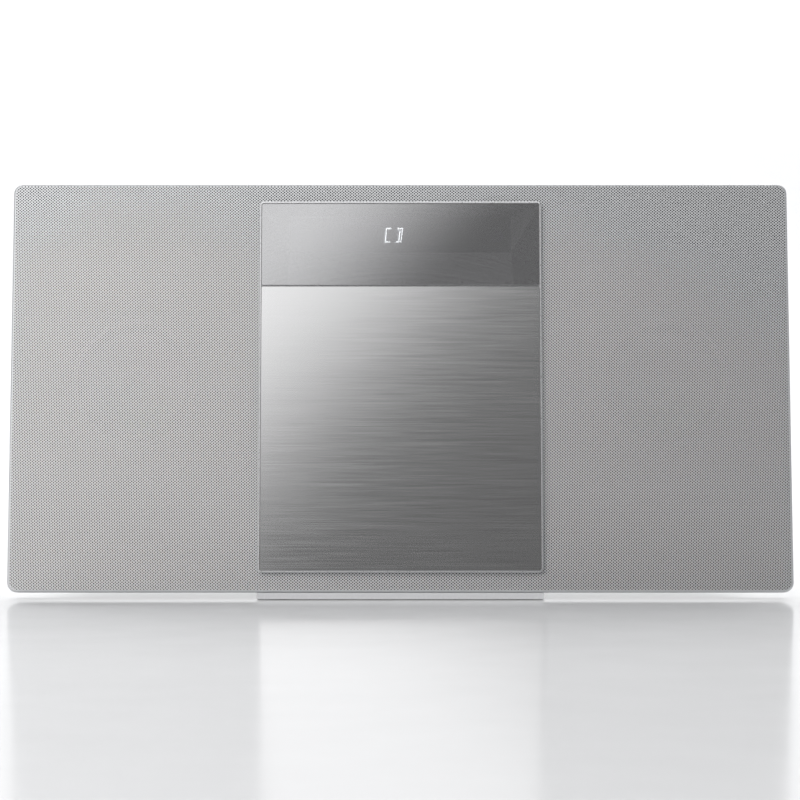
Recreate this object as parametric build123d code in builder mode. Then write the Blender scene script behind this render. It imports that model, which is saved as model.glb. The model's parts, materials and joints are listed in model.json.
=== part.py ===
# Slim one-piece CD stereo. A wide perforated front panel leans back on a low central stand. A tall
# door with a half-mirror window slides to the right along two rods, driven by a rack, and uncovers
# the CD well. All sizes are in millimetres.
#
# The leaning body is drawn upright, with the panel's front face at y = 0, its lower edge at z = 0,
# and y growing towards the back. It is then leaned back and lifted as one. The stand is drawn
# where it stands.
from build123d import *
import math
import os

os.makedirs("parts", exist_ok=True)

# Overall sizes
panel_width = 400.0
panel_height = 210.7
panel_corner = 5.0
lean = 6.0
panel_lift = 3.9
overall_depth = 109.0

# Front panel
grille_sheet = 0.8
grille_flange = 6.0
grille_roll = 1.2
frame_gap = 0.4
frame_wall = 2.5
frame_plate = 2.5
frame_depth = 14.0

# Door
door_width = 145.0
door_height = 190.8
door_bottom = 10.0
door_thickness = 3.0
door_gap = 0.6
door_corner = 2.0
door_rim = 0.9
door_skin = 1.7
door_recess = 0.3
window_height = 42.5
window_groove = 0.6
door_cover = 1.75

# CD well
disc_radius = 60.0
disc_room = 2.0
disc_x = -7.0
disc_z = 89.0
well_flange = 2.0
well_floor = 2.0
well_floor_y = 10.0
well_wall = 1.5
well_lap = 5.0
hub_hole_radius = 15.0
lens_slot_width = 26.0

# Display
display_z = 184.0
display_width = 74.0
display_height = 15.0
display_depth = 5.0
sign_rise = 0.9
sign_height = 7.6
sign_width = 2.8
sign_stroke = 0.6

# Door guides and drive
rod_radius = 1.5
running_gap = 0.1
upper_rod_z = 196.0
lower_rod_z = 19.0
rod_y = 8.6
runner_depth = 5.2
runner_height = 7.4
upper_runner_length = 60.0
rack_spare_closed = 7.05
rack_spare_open = 1.45
arm_width = 8.0
arm_height = 3.4
arm_gap = 0.6
arm_end_gap = 0.8
door_boss_length = 2.6
door_module = 1.0
wheel_module = 0.8
sled_module = 0.8
sled_wheel_module = 0.6
pinion_teeth = 12
wheel_teeth = 30
pressure_angle = 20.0
tooth_tip = 0.7
tooth_root = 0.95
tooth_slack = 0.1
pinion_x = -5.0
rack_thickness = 3.2
rack_y = 12.2
door_motor_radius = 9.0
door_motor_length = 24.0

# CD player
chassis_y = 15.5
chassis_thickness = 2.5
spindle_motor_radius = 11.0
spindle_motor_length = 11.0
shaft_radius = 1.0
turntable_radius = 13.5
disc_back_y = 7.7
hub_radius = 7.3
sled_inner = 24.0
sled_travel = 34.0
sled_rod_reach = 20.0
sled_rod_y = 21.0
sled_motor_radius = 7.5
sled_motor_length = 15.0
lens_radius = 2.6
lens_barrel_wall = 1.0

# Speakers
speaker_x = 136.0
speaker_z = 108.0
speaker_opening = 32.0
basket_radius = 39.0
cone_radius = 26.0
surround_radius = 31.0
magnet_radius = 23.0
speaker_screw_circle = 36.2

# Rear cabinet
cabinet_wall = 2.5
cabinet_rim = 2.5
cabinet_back_y = 66.0
cabinet_front_width = 372.0
cabinet_back_width = 336.0
cabinet_top = 198.0
cabinet_front_bottom = 10.0
cabinet_back_bottom = 18.0
cabinet_corner = 12.0

# Control strip
strip_width = 150.0
strip_depth = 16.0
strip_y = 32.0
strip_lap = 3.0
strip_flange = 1.2
button_width = 14.0
button_depth = 8.0
button_pitch = 20.0
button_rise = 1.2
button_gap = 0.2
button_travel = 0.8
board_thickness = 1.6
key_board_z = 185.0
switch_size = 6.0
switch_height = 3.4
plunger_height = 0.4

# Terminals and boards
plate_width = 98.0
plate_height = 32.0
plate_thickness = 2.0
plate_z = 113.0
plate_lap = 3.0
board_y = 44.0
wall_hole_x = 110.0
wall_hole_z = 150.0
wall_hole_radius = 2.0
wall_hole_length = 11.0
phone_hole_radius = 1.8
phone_hole_length = 13.0

# Stand
stand_width = 146.0
stand_thickness = 2.6
stand_corner = 6.0
neck_width = 96.0
neck_thickness = 4.0
neck_top = 92.0
neck_bend = 9.0
lip_gap = 0.15
foot_radius = 6.0
foot_height = 1.5
foot_proud = 0.5
foot_inset = 12.0
stand_screw_radius = 2.0
stand_screw_x = 32.0
stand_screw_low = 52.0
stand_screw_high = 80.0
stand_boss_radius = 4.5
stand_boss_length = 14.0
stand_screw_head_radius = 3.75
stand_screw_head_height = 2.4

# Small screws
screw_radius = 1.3
screw_head_radius = 2.6
screw_head_height = 1.4
screw_boss_radius = 2.9
screw_bite = 6.0
cross_length_share = 1.2
cross_width_share = 0.24
cross_depth_share = 0.6

# Places that follow from the sizes
lean_sine = math.sin(math.radians(lean))
lean_cosine = math.cos(math.radians(lean))
lean_slope = math.tan(math.radians(lean))
door_front = -(door_gap + door_thickness)
panel_y = -overall_depth / 2 - door_front * lean_cosine - door_bottom * lean_sine
door_middle = door_bottom + door_height / 2
door_travel = (panel_width - door_width) / 2
opening_width = door_width - 2 * door_cover
opening_height = door_height - 2 * door_cover
frame_y = grille_sheet + frame_gap
frame_back = frame_y + frame_plate
frame_width = panel_width - 2 * frame_y
frame_height = panel_height - 2 * frame_y
well_radius = disc_radius + disc_room
well_back = well_floor_y + well_floor
flange_back = frame_back + well_flange
runner_front = rod_y - runner_depth / 2
runner_back = rod_y + runner_depth / 2
arm_x = -(opening_width / 2 - arm_end_gap - arm_width / 2)
slot_length = door_travel + arm_width + 2 * arm_end_gap
slot_x = arm_x + door_travel / 2
door_boss_end = door_boss_length - door_gap
cabinet_front = frame_depth
rim_front = cabinet_front - cabinet_rim
inner_back = cabinet_back_y - cabinet_wall
chassis_back = chassis_y + chassis_thickness
strip_underside = cabinet_top - cabinet_wall - strip_flange


def at_depth(y):
    """Upright sketch plane at depth y, seen from the front: sketch x is x, sketch y is z."""
    return Plane.XZ.offset(-y)


def at_height(z):
    """Level sketch plane at height z: sketch x is x, sketch y is y."""
    return Plane.XY.offset(z)


def block(x, y, z):
    """A block between two corners, given as (low, high) for x, y and z."""
    middle = ((x[0] + x[1]) / 2, (y[0] + y[1]) / 2, (z[0] + z[1]) / 2)
    with Locations(middle):
        Box(x[1] - x[0], y[1] - y[0], z[1] - z[0])


def rod_along_y(places, radius, y_front, y_back, mode=Mode.ADD):
    """Round bars or bores that run straight back from y_front to y_back at each (x, z)."""
    with BuildSketch(at_depth(y_front)) as section:
        with Locations(*places):
            Circle(radius)
    extrude(section.sketch, amount=-(y_back - y_front), mode=mode)


def rod_along_x(y, z, radius, x_from, x_to, mode=Mode.ADD):
    """A round bar or bore that runs along x at depth y and height z."""
    with BuildSketch(Plane.YZ.offset(x_from)) as section:
        with Locations((y, z)):
            Circle(radius)
    extrude(section.sketch, amount=x_to - x_from, mode=mode)


def rod_along_z(places, radius, z_from, z_to, mode=Mode.ADD):
    """Round bars or bores that run upwards from z_from to z_to at each (x, y)."""
    with BuildSketch(at_height(z_from)) as section:
        with Locations(*places):
            Circle(radius)
    extrude(section.sketch, amount=z_to - z_from, mode=mode)


def keep(piece, label, leaning=True):
    """Lean a finished piece back with the body, name it and write it out."""
    place = Location((0, panel_y, panel_lift), (-lean, 0, 0)) if leaning else Location((0, 0, 0))
    placed = piece.part.moved(place)
    placed.label = label
    export_step(placed, f"parts/{label}.step")


def gear_outline(centre, teeth, module, first_tooth):
    """Points around an involute gear, with the middle of a tooth at the angle first_tooth."""
    pitch_radius = module * teeth / 2
    base_radius = pitch_radius * math.cos(math.radians(pressure_angle))
    tip_radius = pitch_radius + tooth_tip * module
    root_radius = pitch_radius - tooth_root * module
    slope = math.radians(pressure_angle)
    involute = math.tan(slope) - slope
    half_tooth = math.pi / (2 * teeth) - tooth_slack / (2 * pitch_radius)
    flank = []
    steps = 5
    for step in range(steps + 1):
        radius = base_radius + (tip_radius - base_radius) * step / steps
        roll = math.acos(base_radius / radius)
        flank.append((radius, half_tooth + involute - (math.tan(roll) - roll)))
    flank.insert(0, (root_radius, flank[0][1]))
    points = []
    for tooth in range(teeth):
        middle = math.radians(first_tooth) + 2 * math.pi * tooth / teeth
        turns = [(radius, middle - half) for radius, half in flank]
        turns += [(radius, middle + half) for radius, half in reversed(flank)]
        for radius, turn in turns:
            points.append((centre[0] + radius * math.cos(turn), centre[1] + radius * math.sin(turn)))
    return points


def gear(centre, teeth, module, first_tooth, y_front, y_back):
    """A spur gear about a y axis, from y_front back to y_back."""
    with BuildSketch(at_depth(y_front)) as section:
        with BuildLine():
            Polyline(*gear_outline(centre, teeth, module, first_tooth), close=True)
        make_face()
    extrude(section.sketch, amount=-(y_back - y_front))


def rack_outline(module, gap_x, pitch_z, teeth_left, teeth_right, body, up):
    """Points of a straight rack with a gap between teeth at gap_x and teeth that point up or down."""
    pitch = math.pi * module
    slope = math.tan(math.radians(pressure_angle))
    half = pitch / 4 - tooth_slack / 2
    sign = 1 if up else -1
    tip = pitch_z + sign * tooth_tip * module
    root = pitch_z - sign * tooth_root * module
    half_tip = half - tooth_tip * module * slope
    half_root = half + tooth_root * module * slope
    points = [(gap_x - teeth_left * pitch, root - sign * body)]
    points.append((gap_x - teeth_left * pitch, root))
    for tooth in range(-teeth_left, teeth_right):
        middle = gap_x + (tooth + 0.5) * pitch
        points.append((middle - half_root, root))
        points.append((middle - half_tip, tip))
        points.append((middle + half_tip, tip))
        points.append((middle + half_root, root))
    points.append((gap_x + teeth_right * pitch, root))
    points.append((gap_x + teeth_right * pitch, root - sign * body))
    return points


def pan_screws(places, seat_y, length, radius, head_radius, head_height, towards_back=False):
    """Screws with a low round cross-slotted head on seat_y; the shank runs the other way from the head."""
    sign = 1 if towards_back else -1
    head_end = seat_y + sign * head_height
    shank_end = seat_y - sign * length
    cross_length = head_radius * cross_length_share
    cross_width = head_radius * cross_width_share
    rod_along_y(places, head_radius, min(seat_y, head_end), max(seat_y, head_end))
    rod_along_y(places, radius, min(seat_y, shank_end), max(seat_y, shank_end))
    with BuildSketch(at_depth(head_end)) as cross:
        with Locations(*places):
            Rectangle(cross_length, cross_width)
            Rectangle(cross_width, cross_length)
    extrude(cross.sketch, amount=sign * head_height * cross_depth_share, mode=Mode.SUBTRACT)


# Grille: a pressed sheet with a rolled edge, opened behind the door
with BuildPart() as grille:
    with BuildSketch(at_depth(0)):
        with Locations((0, panel_height / 2)):
            RectangleRounded(panel_width, panel_height, panel_corner)
    extrude(amount=-grille_flange)
    with BuildSketch(at_depth(grille_sheet)):
        with Locations((0, panel_height / 2)):
            RectangleRounded(
                panel_width - 2 * grille_sheet,
                panel_height - 2 * grille_sheet,
                panel_corner - grille_sheet,
            )
    extrude(amount=-grille_flange, mode=Mode.SUBTRACT)
    fillet(grille.faces().sort_by(Axis.Y)[0].edges(), radius=grille_roll)
    with BuildSketch(at_depth(0)):
        with Locations((0, door_middle)):
            RectangleRounded(opening_width, opening_height, door_corner)
    extrude(amount=-2 * grille_sheet, mode=Mode.SUBTRACT)
keep(grille, "grille")

# Front frame: the moulding behind the grille. It carries the speakers, the well and the door rods
side_screw_x = frame_width / 2 - frame_wall - screw_boss_radius - 2.4
side_screw_heights = (50.0, 165.0)
end_screw_x = 118.0
end_screw_inset = 6.9
top_screw_inset = 8.5
cabinet_screws = [(side * side_screw_x, z) for side in (-1, 1) for z in side_screw_heights]
cabinet_screws += [
    (side * end_screw_x, z) for side in (-1, 1) for z in (end_screw_inset, panel_height - top_screw_inset)
]
rod_spare = 3.0
rod_block = 5.0
rod_block_gap = 0.5
upper_runner_left = arm_x - upper_runner_length / 2
upper_runner_right = arm_x + upper_runner_length / 2
lower_runner_left = pinion_x - door_travel - rack_spare_open
lower_runner_right = pinion_x + rack_spare_closed
beside_well = opening_width / 2 + well_lap + rod_block_gap - rod_spare
upper_rod_ends = (upper_runner_left, max(upper_runner_right + door_travel, beside_well))
lower_rod_ends = (lower_runner_left, lower_runner_right + door_travel)
with BuildPart() as front_frame:
    with BuildSketch(at_depth(frame_y)):
        with Locations((0, panel_height / 2)):
            RectangleRounded(frame_width, frame_height, panel_corner - frame_y)
    extrude(amount=-(frame_depth - frame_y))
    with BuildSketch(at_depth(frame_back)):
        with Locations((0, panel_height / 2)):
            Rectangle(frame_width - 2 * frame_wall, frame_height - 2 * frame_wall)
    extrude(amount=-frame_depth, mode=Mode.SUBTRACT)
    rod_along_y(cabinet_screws, screw_boss_radius, frame_back, rim_front)
    for z, ends in ((upper_rod_z, upper_rod_ends), (lower_rod_z, lower_rod_ends)):
        for outer, inner in (
            (ends[0] - rod_spare - rod_block, ends[0] - rod_spare),
            (ends[1] + rod_spare, ends[1] + rod_spare + rod_block),
        ):
            block((outer, inner), (frame_back, runner_back), (z - rod_block / 2, z + rod_block / 2))
    with BuildSketch(at_depth(frame_y)):
        with Locations((0, door_middle)):
            RectangleRounded(opening_width, opening_height, door_corner)
        with Locations((-speaker_x, speaker_z), (speaker_x, speaker_z)):
            Circle(speaker_opening)
    extrude(amount=-frame_plate, mode=Mode.SUBTRACT)
    for z, ends in ((upper_rod_z, upper_rod_ends), (lower_rod_z, lower_rod_ends)):
        rod_from = ends[0] - rod_spare - rod_block
        rod_to = ends[1] + rod_spare + rod_block
        rod_along_x(rod_y, z, rod_radius, rod_from, rod_to, mode=Mode.SUBTRACT)
    rod_along_y(cabinet_screws, screw_radius, rim_front - screw_bite, rim_front, mode=Mode.SUBTRACT)
keep(front_frame, "front_frame")

# CD well: the moulding seen when the door is open, with a round recess for the disc
well_screw_inset = 2.65
well_screw_x = opening_width / 2 + well_screw_inset
well_screws = [(side * well_screw_x, z) for side in (-1, 1) for z in (30.0, 105.0, 180.0)]
well_end_lap = 1.9
well_width = opening_width + 2 * well_lap
well_height = opening_height + 2 * well_end_lap
display_lap_x = 2.0
display_lap_z = 1.0
remote_x = 50.0
remote_radius = 3.5
with BuildPart() as cd_well:
    with BuildSketch(at_depth(frame_back)):
        with Locations((0, door_middle)):
            Rectangle(well_width, well_height)
    extrude(amount=-well_flange)
    rod_along_y([(disc_x, disc_z)], well_radius + well_wall, flange_back, well_back)
    rod_along_y([(disc_x, disc_z)], well_radius, frame_back, well_floor_y, mode=Mode.SUBTRACT)
    with BuildSketch(at_depth(frame_back)):
        with Locations((disc_x, disc_z)):
            Circle(hub_hole_radius)
        with Locations((slot_x, upper_rod_z), (slot_x, lower_rod_z)):
            Rectangle(slot_length, arm_height + 2 * arm_gap)
        with Locations((0, display_z)):
            Rectangle(display_width - 2 * display_lap_x, display_height - 2 * display_lap_z)
        with Locations((remote_x, display_z)):
            Circle(remote_radius)
    extrude(amount=-(well_back - frame_back), mode=Mode.SUBTRACT)
    with BuildSketch(at_depth(well_floor_y)):
        with Locations((disc_x + well_radius / 2, disc_z)):
            Rectangle(well_radius, lens_slot_width)
        with Locations((disc_x, disc_z)):
            Circle(well_radius, mode=Mode.INTERSECT)
    extrude(amount=-well_floor, mode=Mode.SUBTRACT)
    rod_along_y(well_screws, screw_radius, frame_back, flange_back, mode=Mode.SUBTRACT)
keep(cd_well, "cd_well")

# Guide rods for the door
for label, z, ends in (
    ("door_rod_upper", upper_rod_z, upper_rod_ends),
    ("door_rod_lower", lower_rod_z, lower_rod_ends),
):
    with BuildPart() as rod:
        rod_along_x(
            rod_y, z, rod_radius, ends[0] - rod_spare - rod_block, ends[1] + rod_spare + rod_block
        )
    keep(rod, label)

# Door frame: a thin moulded tray with a light rim, open behind the window
door_floor = door_front + door_recess + door_skin
boss_places = [(arm_x, upper_rod_z), (arm_x, lower_rod_z)]
window_middle = door_bottom + door_height - door_rim - window_height / 2
door_screw_radius = 1.0
door_edge_chamfer = 0.25
window_hole_margin_x = 20.0
window_hole_margin_z = 2.0
with BuildPart() as door_frame:
    with BuildSketch(at_depth(door_front)):
        with Locations((0, door_middle)):
            RectangleRounded(door_width, door_height, door_corner)
    extrude(amount=-door_thickness)
    chamfer(door_frame.faces().sort_by(Axis.Y)[0].edges(), length=door_edge_chamfer)
    with BuildSketch(at_depth(door_front)):
        with Locations((0, door_middle)):
            RectangleRounded(
                door_width - 2 * door_rim, door_height - 2 * door_rim, door_corner - door_rim
            )
    extrude(amount=-(door_floor - door_front), mode=Mode.SUBTRACT)
    with BuildSketch(at_depth(door_floor)):
        with Locations((0, display_z)):
            Rectangle(
                display_width + 2 * window_hole_margin_x, display_height + 2 * window_hole_margin_z
            )
    extrude(amount=-door_thickness, mode=Mode.SUBTRACT)
    for x, z in boss_places:
        half_width = arm_width / 2
        half_height = arm_height / 2
        block(
            (x - half_width, x + half_width),
            (-door_gap, door_boss_end),
            (z - half_height, z + half_height),
        )
    rod_along_y(boss_places, door_screw_radius, -door_gap, door_boss_end, mode=Mode.SUBTRACT)
keep(door_frame, "door_frame")

# Window and brushed plate: skins set into the tray, with a fine groove between them
skin_gap = 0.15
skin_corner = 0.9
skin_chamfer = 0.15
skin_width = door_width - 2 * door_rim - 2 * skin_gap
plate_bottom = door_bottom + door_rim + skin_gap
window_top = door_bottom + door_height - door_rim - skin_gap
window_bottom = window_top - window_height
for label, low, high in (
    ("door_window", window_bottom, window_top),
    ("door_plate", plate_bottom, window_bottom - window_groove),
):
    with BuildPart() as skin:
        with BuildSketch(at_depth(door_floor - door_skin)):
            with Locations((0, (low + high) / 2)):
                RectangleRounded(skin_width, high - low, skin_corner)
        extrude(amount=-door_skin)
        chamfer(skin.faces().sort_by(Axis.Y)[0].edges(), length=skin_chamfer)
    keep(skin, label)

# Door runners: they ride on the rods behind the well and reach the door through the slots
rack_pitch_z = lower_rod_z + runner_height / 2
rack_body = 1.6
pinion_radius = door_module * pinion_teeth / 2
pinion_z = rack_pitch_z + pinion_radius
rack_teeth_left = math.floor((pinion_x - lower_runner_left) / (math.pi * door_module))
rack_teeth_right = math.floor((lower_runner_right - pinion_x) / (math.pi * door_module))
for label, z, left, right in (
    ("door_runner_upper", upper_rod_z, upper_runner_left, upper_runner_right),
    ("door_runner_lower", lower_rod_z, lower_runner_left, lower_runner_right),
):
    with BuildPart() as runner:
        low = z - runner_height / 2
        high = z + runner_height / 2
        block((left, right), (runner_front, runner_back), (low, high))
        if label == "door_runner_lower":
            ledge_low = rack_pitch_z - tooth_root * door_module - rack_body
            rack_left = pinion_x - rack_teeth_left * math.pi * door_module
            rack_right = pinion_x + rack_teeth_right * math.pi * door_module
            block((rack_left, rack_right), (runner_back, rack_y), (ledge_low, ledge_low + rack_body))
            with BuildSketch(at_depth(rack_y)):
                with BuildLine():
                    Polyline(
                        *rack_outline(
                            door_module,
                            pinion_x,
                            rack_pitch_z,
                            rack_teeth_left,
                            rack_teeth_right,
                            rack_body,
                            up=True,
                        ),
                        close=True,
                    )
                make_face()
            extrude(amount=-rack_thickness)
        block(
            (arm_x - arm_width / 2, arm_x + arm_width / 2),
            (door_boss_end, runner_front),
            (z - arm_height / 2, z + arm_height / 2),
        )
        rod_along_x(rod_y, z, rod_radius + running_gap, left, right, mode=Mode.SUBTRACT)
    keep(runner, label)

# Drive bracket: carries the door motor and the drive gear's pin on the back of the well
bracket_y = 20.5
bracket_thickness = 2.0
bracket_width = 60.0
bracket_height = 26.0
bracket_corner = 3.0
bracket_x = 2.0
bracket_z = 32.0
bracket_post_radius = 2.8
bracket_posts = [(-24.0, 36.0), (28.0, 41.0)]
gear_pin_radius = 1.25
gear_hub_radius = 4.0
gear_side_gap = 0.1
pin_gap = 0.05
wheel_width = 2.5
wheel_step = 0.5
motor_gear_spare = 0.3
shaft_depth = 7.0
shaft_room = 8.0
motor_edge_chamfer = 1.0
motor_boss_radius = 3.0
pinion_front = rack_y + gear_side_gap
pinion_back = rack_y + rack_thickness
wheel_front = pinion_back + wheel_step
wheel_back = wheel_front + wheel_width
wheel_radius = wheel_module * wheel_teeth / 2
motor_gear_radius = wheel_module * pinion_teeth / 2
motor_x = pinion_x + wheel_radius + motor_gear_radius
motor_shaft_radius = 1.0
bracket_back = bracket_y + bracket_thickness
with BuildPart() as drive_bracket:
    with BuildSketch(at_depth(bracket_y)):
        with Locations((bracket_x, bracket_z)):
            RectangleRounded(bracket_width, bracket_height, bracket_corner)
    extrude(amount=-bracket_thickness)
    rod_along_y(bracket_posts, bracket_post_radius, well_back, bracket_y)
    rod_along_y([(pinion_x, pinion_z)], gear_pin_radius, pinion_front, bracket_y)
    rod_along_y([(motor_x, pinion_z)], motor_boss_radius, bracket_y, bracket_back, mode=Mode.SUBTRACT)
keep(drive_bracket, "drive_bracket")

with BuildPart() as door_motor:
    rod_along_y([(motor_x, pinion_z)], door_motor_radius, bracket_back, bracket_back + door_motor_length)
    chamfer(door_motor.faces().sort_by(Axis.Y)[-1].edges(), length=motor_edge_chamfer)
    rod_along_y(
        [(motor_x, pinion_z)],
        motor_shaft_radius + pin_gap,
        bracket_back,
        bracket_back + shaft_room,
        mode=Mode.SUBTRACT,
    )
keep(door_motor, "door_motor")

with BuildPart() as drive_gear:
    gear((pinion_x, pinion_z), pinion_teeth, door_module, -90, pinion_front, pinion_back)
    rod_along_y([(pinion_x, pinion_z)], gear_hub_radius, pinion_back, wheel_front)
    gear((pinion_x, pinion_z), wheel_teeth, wheel_module, 0, wheel_front, wheel_back)
    rod_along_y(
        [(pinion_x, pinion_z)],
        gear_pin_radius + pin_gap,
        pinion_front,
        wheel_back,
        mode=Mode.SUBTRACT,
    )
keep(drive_gear, "drive_gear")

half_tooth_turn = 180 / pinion_teeth
with BuildPart() as door_motor_gear:
    gear(
        (motor_x, pinion_z),
        pinion_teeth,
        wheel_module,
        half_tooth_turn,
        wheel_front - motor_gear_spare,
        wheel_back + motor_gear_spare,
    )
    rod_along_y(
        [(motor_x, pinion_z)],
        motor_shaft_radius,
        wheel_back + motor_gear_spare,
        bracket_back + shaft_depth,
    )
keep(door_motor_gear, "door_motor_gear")

# Door screws: through each runner's arm into the door's boss
with BuildPart() as door_screws:
    rod_along_y(boss_places, door_screw_radius, -door_gap, door_boss_end)
keep(door_screws, "door_screws")

# Player chassis: a plate on rubber dampers with a window for the pickup sled
chassis_left = -36.0
chassis_right = 72.0
chassis_low = 47.0
chassis_high = 121.0
dampers = [(-30.0, 64.0), (-30.0, 114.0), (44.0, 62.0), (44.0, 116.0)]
damper_radius = 3.6
rod_left = 4.0
rod_right = 70.0
rod_clip = 3.0
rod_clip_half = 3.0
rod_clip_depth = 2.5
sled_room = 10.0
sled_tail = 16.0
lens_x = disc_x + sled_inner
sled_left = lens_x - sled_room
sled_right = lens_x + sled_tail
sled_rods = [disc_z - sled_rod_reach, disc_z + sled_rod_reach]
sled_pitch_z = 61.0
sled_pinion_radius = sled_module * pinion_teeth / 2
sled_gear_x = 36.0
sled_gear_z = sled_pitch_z - sled_pinion_radius
sled_wheel_radius = sled_wheel_module * wheel_teeth / 2
sled_motor_x = sled_gear_x + sled_wheel_radius + sled_wheel_module * pinion_teeth / 2
sled_pinion_front = 19.4
sled_pinion_back = 22.6
sled_wheel_back = 25.0
sled_motor_plate = 25.6
sled_motor_front = 26.8
sled_window_gap = 1.5
motor_post_left = 56.0
motor_post_right = 60.0
motor_plate_left = 38.6
motor_plate_height = 18.0
rack_pass_gap = 0.8
motor_post_top = sled_pitch_z - tooth_tip * sled_module - rack_pass_gap
sled_motor_boss = 2.0
spindle_hole_radius = 3.0
with BuildPart() as cd_chassis:
    block((chassis_left, chassis_right), (chassis_y, chassis_back), (chassis_low, chassis_high))
    with BuildSketch(at_depth(chassis_y)):
        with Locations(((sled_left + sled_right + sled_travel) / 2, disc_z)):
            Rectangle(
                sled_right - sled_left + sled_travel + 2 * sled_window_gap,
                2 * (sled_rod_reach - rod_clip_half),
            )
    extrude(amount=-chassis_thickness, mode=Mode.SUBTRACT)
    for z in sled_rods:
        for left in (rod_left, rod_right - rod_clip):
            block(
                (left, left + rod_clip),
                (chassis_back, sled_rod_y + rod_clip_depth),
                (z - rod_clip_half, z + rod_clip_half),
            )
    block(
        (motor_post_left, motor_post_right),
        (chassis_back, sled_motor_front),
        (chassis_low, motor_post_top),
    )
    block(
        (motor_plate_left, motor_post_right),
        (sled_motor_plate, sled_motor_front),
        (chassis_low, chassis_low + motor_plate_height),
    )
    rod_along_y([(disc_x, disc_z)], spindle_hole_radius, chassis_y, chassis_back, mode=Mode.SUBTRACT)
    rod_along_y(
        [(sled_motor_x, sled_gear_z)],
        sled_motor_boss,
        sled_motor_plate,
        sled_motor_front,
        mode=Mode.SUBTRACT,
    )
    rod_along_y([(sled_gear_x, sled_gear_z)], gear_pin_radius, chassis_back, sled_wheel_back)
    for z in sled_rods:
        rod_along_x(sled_rod_y, z, rod_radius, rod_left, rod_right, mode=Mode.SUBTRACT)
keep(cd_chassis, "cd_chassis")

with BuildPart() as chassis_dampers:
    rod_along_y(dampers, damper_radius, well_back, chassis_y)
keep(chassis_dampers, "chassis_dampers")

with BuildPart() as sled_guides:
    for z in sled_rods:
        rod_along_x(sled_rod_y, z, rod_radius, rod_left, rod_right)
keep(sled_guides, "sled_rods")

# Spindle motor, turntable on its shaft, and the three jaws that grip the disc
motor_back = chassis_back + spindle_motor_length
small_motor_chamfer = 0.8
spindle_end_gap = 1.0
with BuildPart() as spindle_motor:
    rod_along_y([(disc_x, disc_z)], spindle_motor_radius, chassis_back, motor_back)
    chamfer(spindle_motor.faces().sort_by(Axis.Y)[-1].edges(), length=small_motor_chamfer)
    rod_along_y(
        [(disc_x, disc_z)],
        shaft_radius + pin_gap,
        chassis_back,
        motor_back - spindle_end_gap,
        mode=Mode.SUBTRACT,
    )
keep(spindle_motor, "spindle_motor")

hub_height = 3.6
hub_chamfer = 1.2
table_thickness = 2.0
table_neck_radius = 4.0
table_gap = 0.8
jaw_count = 3
jaw_width = 3.0
jaw_slot_depth = 2.0
jaw_length = 2.6
jaw_slot_reach = 1.0
jaw_reach = 0.7
hub_front = disc_back_y - hub_height
table_back = disc_back_y + table_thickness
jaw_front = disc_back_y - 2.6
jaw_back = disc_back_y - 1.3
with BuildPart() as turntable:
    rod_along_y([(disc_x, disc_z)], hub_radius, hub_front, disc_back_y)
    chamfer(turntable.faces().sort_by(Axis.Y)[0].edges(), length=hub_chamfer)
    rod_along_y([(disc_x, disc_z)], turntable_radius, disc_back_y, table_back)
    rod_along_y([(disc_x, disc_z)], table_neck_radius, table_back, chassis_y - table_gap)
    rod_along_y(
        [(disc_x, disc_z)], shaft_radius, chassis_y - table_gap, motor_back - 2 * spindle_end_gap
    )
    with BuildSketch(at_depth(jaw_front)):
        with Locations((disc_x, disc_z)):
            with PolarLocations(hub_radius - jaw_slot_reach, jaw_count):
                Rectangle(jaw_slot_depth, jaw_width)
    extrude(amount=-(jaw_back - jaw_front), mode=Mode.SUBTRACT)
keep(turntable, "turntable")

with BuildPart() as hub_jaws:
    with BuildSketch(at_depth(jaw_front)):
        with Locations((disc_x, disc_z)):
            with PolarLocations(hub_radius - jaw_reach, jaw_count):
                Rectangle(jaw_length, jaw_width)
    extrude(amount=-(jaw_back - jaw_front))
keep(hub_jaws, "hub_jaws")

# Pickup sled: the lens block runs on two rods and is moved by a rack along its lower edge
sled_front_gap = 0.8
sled_back_cover = 3.0
sled_half_height = 15.5
sled_shoe_gap = 0.6
sled_shoe_half = 3.0
lens_height = 0.4
rack_spare = 2.0
sled_bore_spare = 60.0
sled_front = well_back + sled_front_gap
sled_back = sled_rod_y + sled_back_cover
lens_block_front = 9.7
sled_rack_left = math.floor((sled_gear_x + rack_spare) / (math.pi * sled_module))
sled_rack_right = 2
sled_rack_body = 1.5
sled_rack_top = sled_pitch_z + tooth_root * sled_module + sled_rack_body
with BuildPart() as pickup_sled:
    block(
        (sled_left, sled_right),
        (sled_front, sled_back),
        (disc_z - sled_half_height, disc_z + sled_half_height),
    )
    block(
        (sled_left, sled_right),
        (chassis_back + sled_shoe_gap, sled_back),
        (sled_rods[0] - sled_shoe_half, sled_rods[1] + sled_shoe_half),
    )
    block(
        (sled_left, sled_right),
        (sled_pinion_front, sled_pinion_back),
        (sled_rack_top - sled_rack_body, sled_rods[0]),
    )
    with BuildSketch(at_depth(sled_pinion_front)):
        with BuildLine():
            Polyline(
                *rack_outline(
                    sled_module,
                    sled_gear_x,
                    sled_pitch_z,
                    sled_rack_left,
                    sled_rack_right,
                    sled_rack_body,
                    up=False,
                ),
                close=True,
            )
        make_face()
    extrude(amount=-(sled_pinion_back - sled_pinion_front))
    rod_along_y([(lens_x, disc_z)], lens_radius + lens_barrel_wall, lens_block_front, sled_front)
    for z in sled_rods:
        rod_along_x(
            sled_rod_y,
            z,
            rod_radius + running_gap,
            sled_left - sled_bore_spare,
            sled_right + sled_bore_spare,
            mode=Mode.SUBTRACT,
        )
keep(pickup_sled, "pickup_sled")

with BuildPart() as pickup_lens:
    rod_along_y([(lens_x, disc_z)], lens_radius, lens_block_front - lens_height, lens_block_front)
keep(pickup_lens, "pickup_lens")

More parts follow.
